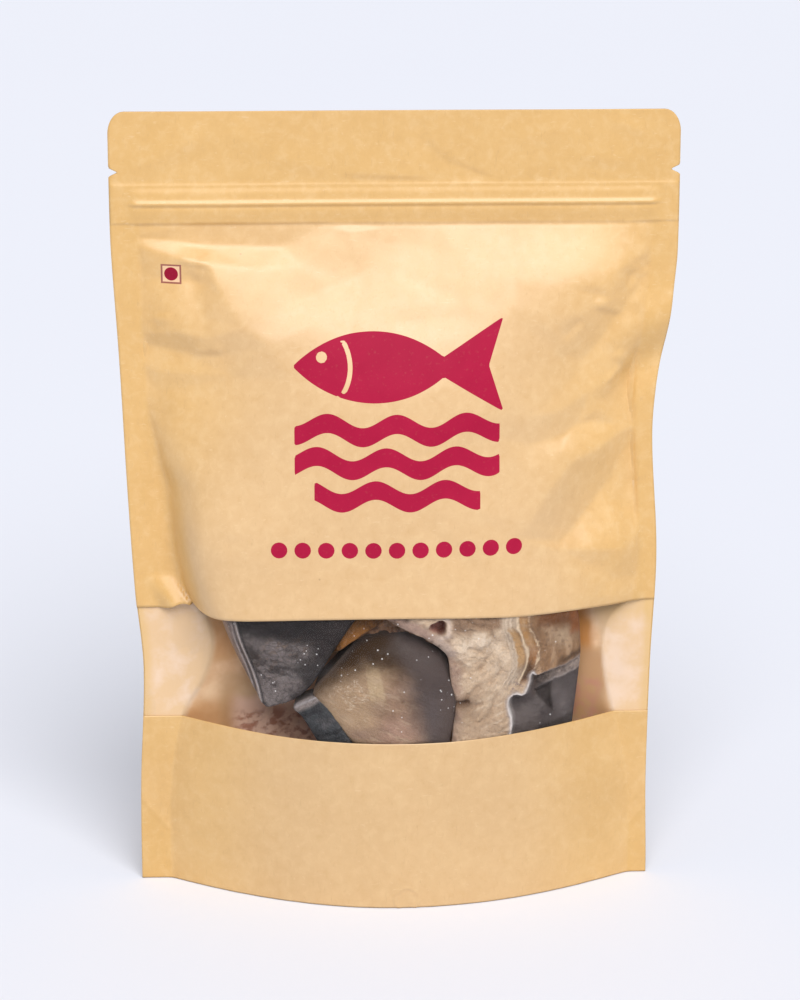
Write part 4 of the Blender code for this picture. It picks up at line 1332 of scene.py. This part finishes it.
def right_relief(x, z):
    wx, wz = flesh_warp(x, z)
    skin = inside_of(x, z, SKIN_FIELD)
    rings = growth(x, z)
    ridged = smooth(28.2, 30.6, rings) * smooth(64, 67, z)
    lumps = (0.34 * smooth(-0.2, 1.1, flesh_lumps(wx, wz)) + 0.30 * fractal(wx * 1.3, wz * 0.8, 7, 89)
             + 0.45 * spot(x, z, 24.5, 80.5, 5.0, 3.4, -0.4) + 0.25 * spot(x, z, 18.5, 79.5, 3.5, 2.5, 0.3))
    fine = smooth(-0.1, 0.6, cells(wx * 1.2, wz * 0.7, 2.1, 95)) * smooth(-0.2, 0.5, fractal(x, z, 10, 96))
    soft = (lumps + 0.07 * fine) * (1 - ridged)
    for path in FLESH_CREASES:
        gap = path_distance(wx, wz, path)
        soft = soft + (0.18 * line(gap - 1.5, 1.1) - 0.34 * line(gap, 0.9)) * (1 - ridged)
    stripes = (0.22 * growth_lines(x, z, rings) * smooth(34.6, 33.2, rings)
               + 0.14 * np.sin(math.tau * rings / 2.3) * smooth(38.8, 40, rings)
               + 0.70 * line(rings - INNER_RIDGE, 0.46) + 0.40 * outer_ridge(x, z, rings, 0.42)
               - 0.50 * line(rings - GROOVE, 0.9) - 0.30 * line(rings - 32.4, 0.9))
    total = 0.45 * ripple(x, z, 12, 93) + 0.10 * fractal(x, z, 2.4, 97)
    total = total + smooth(-0.3, 0.5, skin) * (soft + ridged * (0.5 + stripes))
    hollow = hollow_distance(x, z)
    total = total - 4.0 * smooth(2.3, 1.2, hollow) + 0.15 * line(hollow - 2.8, 0.9)
    cleft = path_distance(x, z, CLEFT)
    total = total - 1.2 * line(cleft, 0.80) - 0.8 * line(cleft, 2.2)
    rim = path_distance(x, z, RIM_PATH)
    hook = smooth(42.0, 39.4, x)
    total = total + (0.15 + 0.35 * hook) * line(rim, 0.50) - 1.5 * smooth(0.2, -1.0, skin)
    collar = smooth(4.2, 3.2, -skin) * smooth(0.2, -0.4, skin) * smooth(38.5, 40.5, x)
    total = total + 0.7 * (1 - hook) * line(skin + 1.9, 1.1) + 0.40 * collar * fractal(x, z, 2.4, 54)
    total = total + 0.35 * line(path_distance(x, z, PALE_SIDE), 1.0)
    flap = (0.35 * ripple(x, z, 9, 99) + 0.09 * (x - 45)) * smooth(0, -1.5, skin)
    return total + flap - 1.1 * smooth(0.6, -0.9, wedge_distance(x, z))


def flesh_colour(x, z):
    """Cream flesh: tan furrows and low end, painted highlights on the crests, painted shade
    along the creases, and brown painted shade at the top.
    """
    wx, wz = flesh_warp(x, z)
    cloud = fractal(x, z, 10, 95, 5)
    streak = fractal(x * 0.5 + z * 0.4, (z - x * 0.5) * 1.6, 4.0, 65)
    # painted highlights on the raised crests
    crests = 0.80 * spot(x, z, 24.5, 80.8, 4.6, 3.0, -0.5) + 0.55 * spot(x, z, 18.0, 79.8, 2.8, 2.6)
    creases = [path_distance(wx, wz, path) for path in FLESH_CREASES]
    shaded = 0.8 * spot(x, z, 18.0, 85.0, 2.4, 2.2, -0.5) + 0.5 * spot(x, z, 20.6, 83.6, 1.5, 1.6, 0.3)
    return painted(
        (0.585, 0.435, 0.300),
        ((0.490, 0.350, 0.235), smooth(0.0, 0.9, cloud)),
        ((0.70, 0.555, 0.410), 0.6 * smooth(0.1, 0.9, -cloud + 0.4 * ripple(x, z, 4.5, 96))),
        ((0.410, 0.285, 0.185), 0.80 * smooth(67, 58, z + 1.5 * ripple(x, z, 8, 67))),
        ((0.310, 0.205, 0.155), 0.92 * smooth(20.2, 16.0, x + 1.0 * ripple(x, z, 6, 66)) * smooth(79, 75, z)),
        ((0.74, 0.60, 0.455), 0.35 * smooth(0.2, 0.9, streak)),
        ((0.40, 0.275, 0.185), 0.30 * smooth(0.2, 0.9, -streak)),
        ((0.80, 0.675, 0.535), crests * (0.72 + 0.45 * fractal(x * 1.5, z * 0.7, 2.6, 57))),
        ((0.40, 0.285, 0.205), 0.13 * smooth(0.35, 0.0, flesh_lumps(wx, wz))),
        ((0.240, 0.145, 0.088), 0.92 * smooth(83.0, 85.4, z + 0.5 * ripple(x, z, 6, 64)) * smooth(14, 17, x)),
        ((0.215, 0.135, 0.088), shaded),
        # painted shade along the creases, which the relief also cuts in
        *(((0.30, 0.195, 0.120), 0.26 * line(gap, 0.55) + 0.16 * line(gap, 1.6)) for gap in creases))


def outer_flesh_colour(x, z, skin):
    """Tan flesh outside the ridges, rust-brown at the top and dark above the flap of skin."""
    skin_gap = skin + 0.3 * ripple(x, z, 4, 58)
    return painted(
        (0.265, 0.150, 0.078),
        ((0.415, 0.265, 0.155), smooth(-0.2, 0.8, fractal(x * 1.5, z * 0.45, 6, 87))),
        ((0.50, 0.370, 0.245), 0.6 * spot(x, z, 48.0, 79.0, 4.0, 4.5, 0.5)),
        ((0.150, 0.085, 0.052), 0.55 * smooth(0.25, 0.8, fractal(x, z, 1.9, 86, 3))),
        ((0.155, 0.056, 0.018),
         0.90 * smooth(82.0, 86.0, z + 0.25 * (x - 40) + 0.8 * ripple(x, z, 6, 63)) * smooth(39, 42, x)),
        ((0.250, 0.088, 0.030), 0.88 * smooth(49.4, 51.8, x + 0.5 * ripple(x, z, 5, 62)) * smooth(77, 80, z)),
        ((0.085, 0.048, 0.028),
         0.92 * line(skin_gap - 1.5, 1.3 + 0.4 * ripple(x, z, 3, 52)) * smooth(45.5, 49, x)))


def ridge_colour(x, z, rings, skin):
    """The growth ridges: fine pale lines, a gold band, the rust groove between two bright ridges,
    and the outer flesh beyond them."""
    wave = 0.5 + 0.5 * growth_lines(x, z, rings)
    gold = smooth(1.55, 0.75, np.abs(rings - 32.4) + 0.3 * fractal(x, z, 3, 49))
    orange = rings - GROOVE
    rust_low = smooth(79, 73.5, z + 0.8 * ripple(x, z, 5, 61))
    rust = painted((0.430, 0.230, 0.085), ((0.300, 0.140, 0.055), rust_low))
    groove = (0.85 + 0.3 * fractal(x, z, 4, 77)) * smooth(1.9, 0.9, np.abs(orange))
    groove_foot = 0.90 * spot(x, z, 38.2, 70.4, 2.1, 2.8, 0.3) + 0.98 * spot(x, z, 37.3, 68.0, 2.1, 2.8)
    faded = 0.75 + 0.35 * fractal(x, z, 3.0, 60)
    broken = smooth(-0.5, 0.3, fractal(x, z, 3.5, 55))
    crests = 0.88 * line(rings - INNER_RIDGE, 0.40) * faded + 0.62 * outer_ridge(x, z, rings, 0.32) * broken
    return painted(
        (0.430, 0.325, 0.235),
        ((0.65, 0.515, 0.380), np.clip(wave, 0, 1) ** 1.5),
        ((0.30, 0.225, 0.165), 0.5 * smooth(0.2, 0.8, fractal(x * 1.6, z * 0.5, 5, 88))),
        ((0.455, 0.268, 0.118), 0.92 * gold * smooth(85.5, 82, z) * smooth(69, 73, z)),
        (outer_flesh_colour(x, z, skin), smooth(36.8, 37.8, rings)),
        (rust, groove),
        ((0.21, 0.105, 0.050), 0.45 * line(orange - 1.2, 0.35) + 0.4 * line(orange + 1.25, 0.22)),
        ((0.115, 0.062, 0.032), groove_foot),
        ((0.80, 0.62, 0.42), crests),
        ((0.20, 0.125, 0.075), 0.45 * line(rings - 33.4, 0.25) + 0.4 * line(rings - 38.2, 0.3)))


def flap_colour(x, z, skin):
    """The flap of slate skin, with a paler crumpled collar along its upper edge."""
    collar = painted(
        (0.068, 0.050, 0.043),
        ((0.280, 0.222, 0.188), smooth(39.5, 52, x)),
        ((0.42, 0.34, 0.29), 0.55 * smooth(0.15, 0.9, fractal(x, z, 2.2, 51)) * smooth(40, 46, x)),
        ((0.060, 0.045, 0.038), 0.55 * smooth(0.1, 0.8, -fractal(x, z, 2.8, 50))))
    return painted(
        (0.070, 0.056, 0.053),
        ((0.105, 0.087, 0.081), smooth(-0.2, 0.8, fractal(x, z, 13, 83))),
        ((0.150, 0.122, 0.112), 0.6 * smooth(60, 53, z) * smooth(43, 40, x)),
        ((0.050, 0.041, 0.040), 0.75 * spot(x, z, 48.6, 65.0, 4.2, 2.6, 0.2)),
        ((0.150, 0.125, 0.118), 0.70 * spot(x, z, 48.6, 57.0, 3.2, 4.2)),
        ((0.036, 0.027, 0.023), 0.90 * smooth(51.5, 50.0, z - 0.28 * (x - 42)) * smooth(38, 42, x)),
        (collar, 0.95 * smooth(4.0, 2.9, -skin + 0.3 * ripple(x, z, 4, 59)) * smooth(38.5, 40.5, x)),
        ((0.36, 0.31, 0.285), 0.55 * line(skin + 3.4 + 0.3 * fractal(x, z, 3, 53), 0.36) * smooth(42, 46, x)),
        ((0.19, 0.165, 0.155), 0.7 * smooth(1.8, 0.5, -skin) * smooth(42, 39, x)),
        # painted shade: the sunken wedge in the flap painted near black
        ((0.030, 0.023, 0.020), 0.84 * smooth(0.7, -0.4, wedge_distance(x, z))))


def right_paint(x, z, edge):
    skin = inside_of(x, z, SKIN_FIELD)
    rings = growth(x, z)
    ridged = smooth(28.4, 30.2, rings) * smooth(64.5, 67, z)
    wrinkled = spot(x, z, 34.6, 65.2, 3.6, 2.4) * smooth(0.1, 0.6, fractal(x, z, 2.2, 85))
    side = path_distance(x, z, PALE_SIDE)
    side_colour = painted((0.300, 0.200, 0.160), ((0.400, 0.305, 0.250), smooth(8, 13, x)))
    side_shade = line(side - 2.1, 0.5) * smooth(17, 14, x) * smooth(8.5, 5, np.abs(z - 81))
    side_spots = 0.85 * spot(x, z, -0.8, 86.9, 2.2, 1.0, -0.4) + 0.6 * spot(x, z, 2.6, 87.6, 1.6, 0.9)
    hollow = hollow_distance(x, z)
    # painted shade: the hollow's right half is painted dark, its left wall keeps the reddish colour
    hollow_right = smooth(10.4, 13.0, x - 0.4 * (z - 85))
    hollow_colour = painted((0.40, 0.190, 0.150), ((0.165, 0.068, 0.048), hollow_right))
    cleft = path_distance(x, z, CLEFT_SHADE)
    rim = path_distance(x, z, RIM_PATH) + 0.12 * ripple(x, z, 2.2, 82)
    hook = smooth(41.0, 39.6, x)
    return painted(
        flesh_colour(x, z),
        (ridge_colour(x, z, rings, skin), ridged),
        ((0.20, 0.15, 0.145), 0.8 * wrinkled),
        (side_colour, 0.9 * smooth(2.3, 0.8, side + 0.3 * ripple(x, z, 3, 84))),
        ((0.30, 0.215, 0.170), 0.6 * spot(x, z, 15.4, 82.6, 1.3, 1.2)),
        ((0.21, 0.140, 0.110), 0.5 * side_shade),
        ((0.090, 0.052, 0.034), side_spots),
        ((0.62, 0.50, 0.43), 0.6 * line(hollow - 2.8, 0.7) * smooth(11, 14, x)),
        (hollow_colour, smooth(2.3, 1.6, hollow)),
        ((0.150, 0.088, 0.055), 0.55 * line(cleft, 1.0) + 0.62 * line(cleft, 3.0)),
        (flap_colour(x, z, skin), smooth(0.15, -0.15, skin)),
        ((0.33, 0.285, 0.265), 0.65 * hook * smooth(1.5, 0.4, rim)),
        ((0.64, 0.59, 0.56), (0.72 + 0.28 * ripple(x, z, 5, 73)) * hook * smooth(0.66, 0.16, rim)),
        ((0.42, 0.37, 0.34), 0.45 * (1 - hook) * line(rim, 0.45)),
        # painted shade where the rim turns back against the neighbouring piece and the liner
        ((0.16, 0.11, 0.08), smooth(0.985, 1.02, edge) * 0.6))


chunk("shark_right", "shark_piece_right", RIGHT_OUTLINE, flesh_finish, 480,
      right_relief, right_paint, round_off=1.3, standoff=0.9, thick=12, shoulder=14, centre=(33, 71))
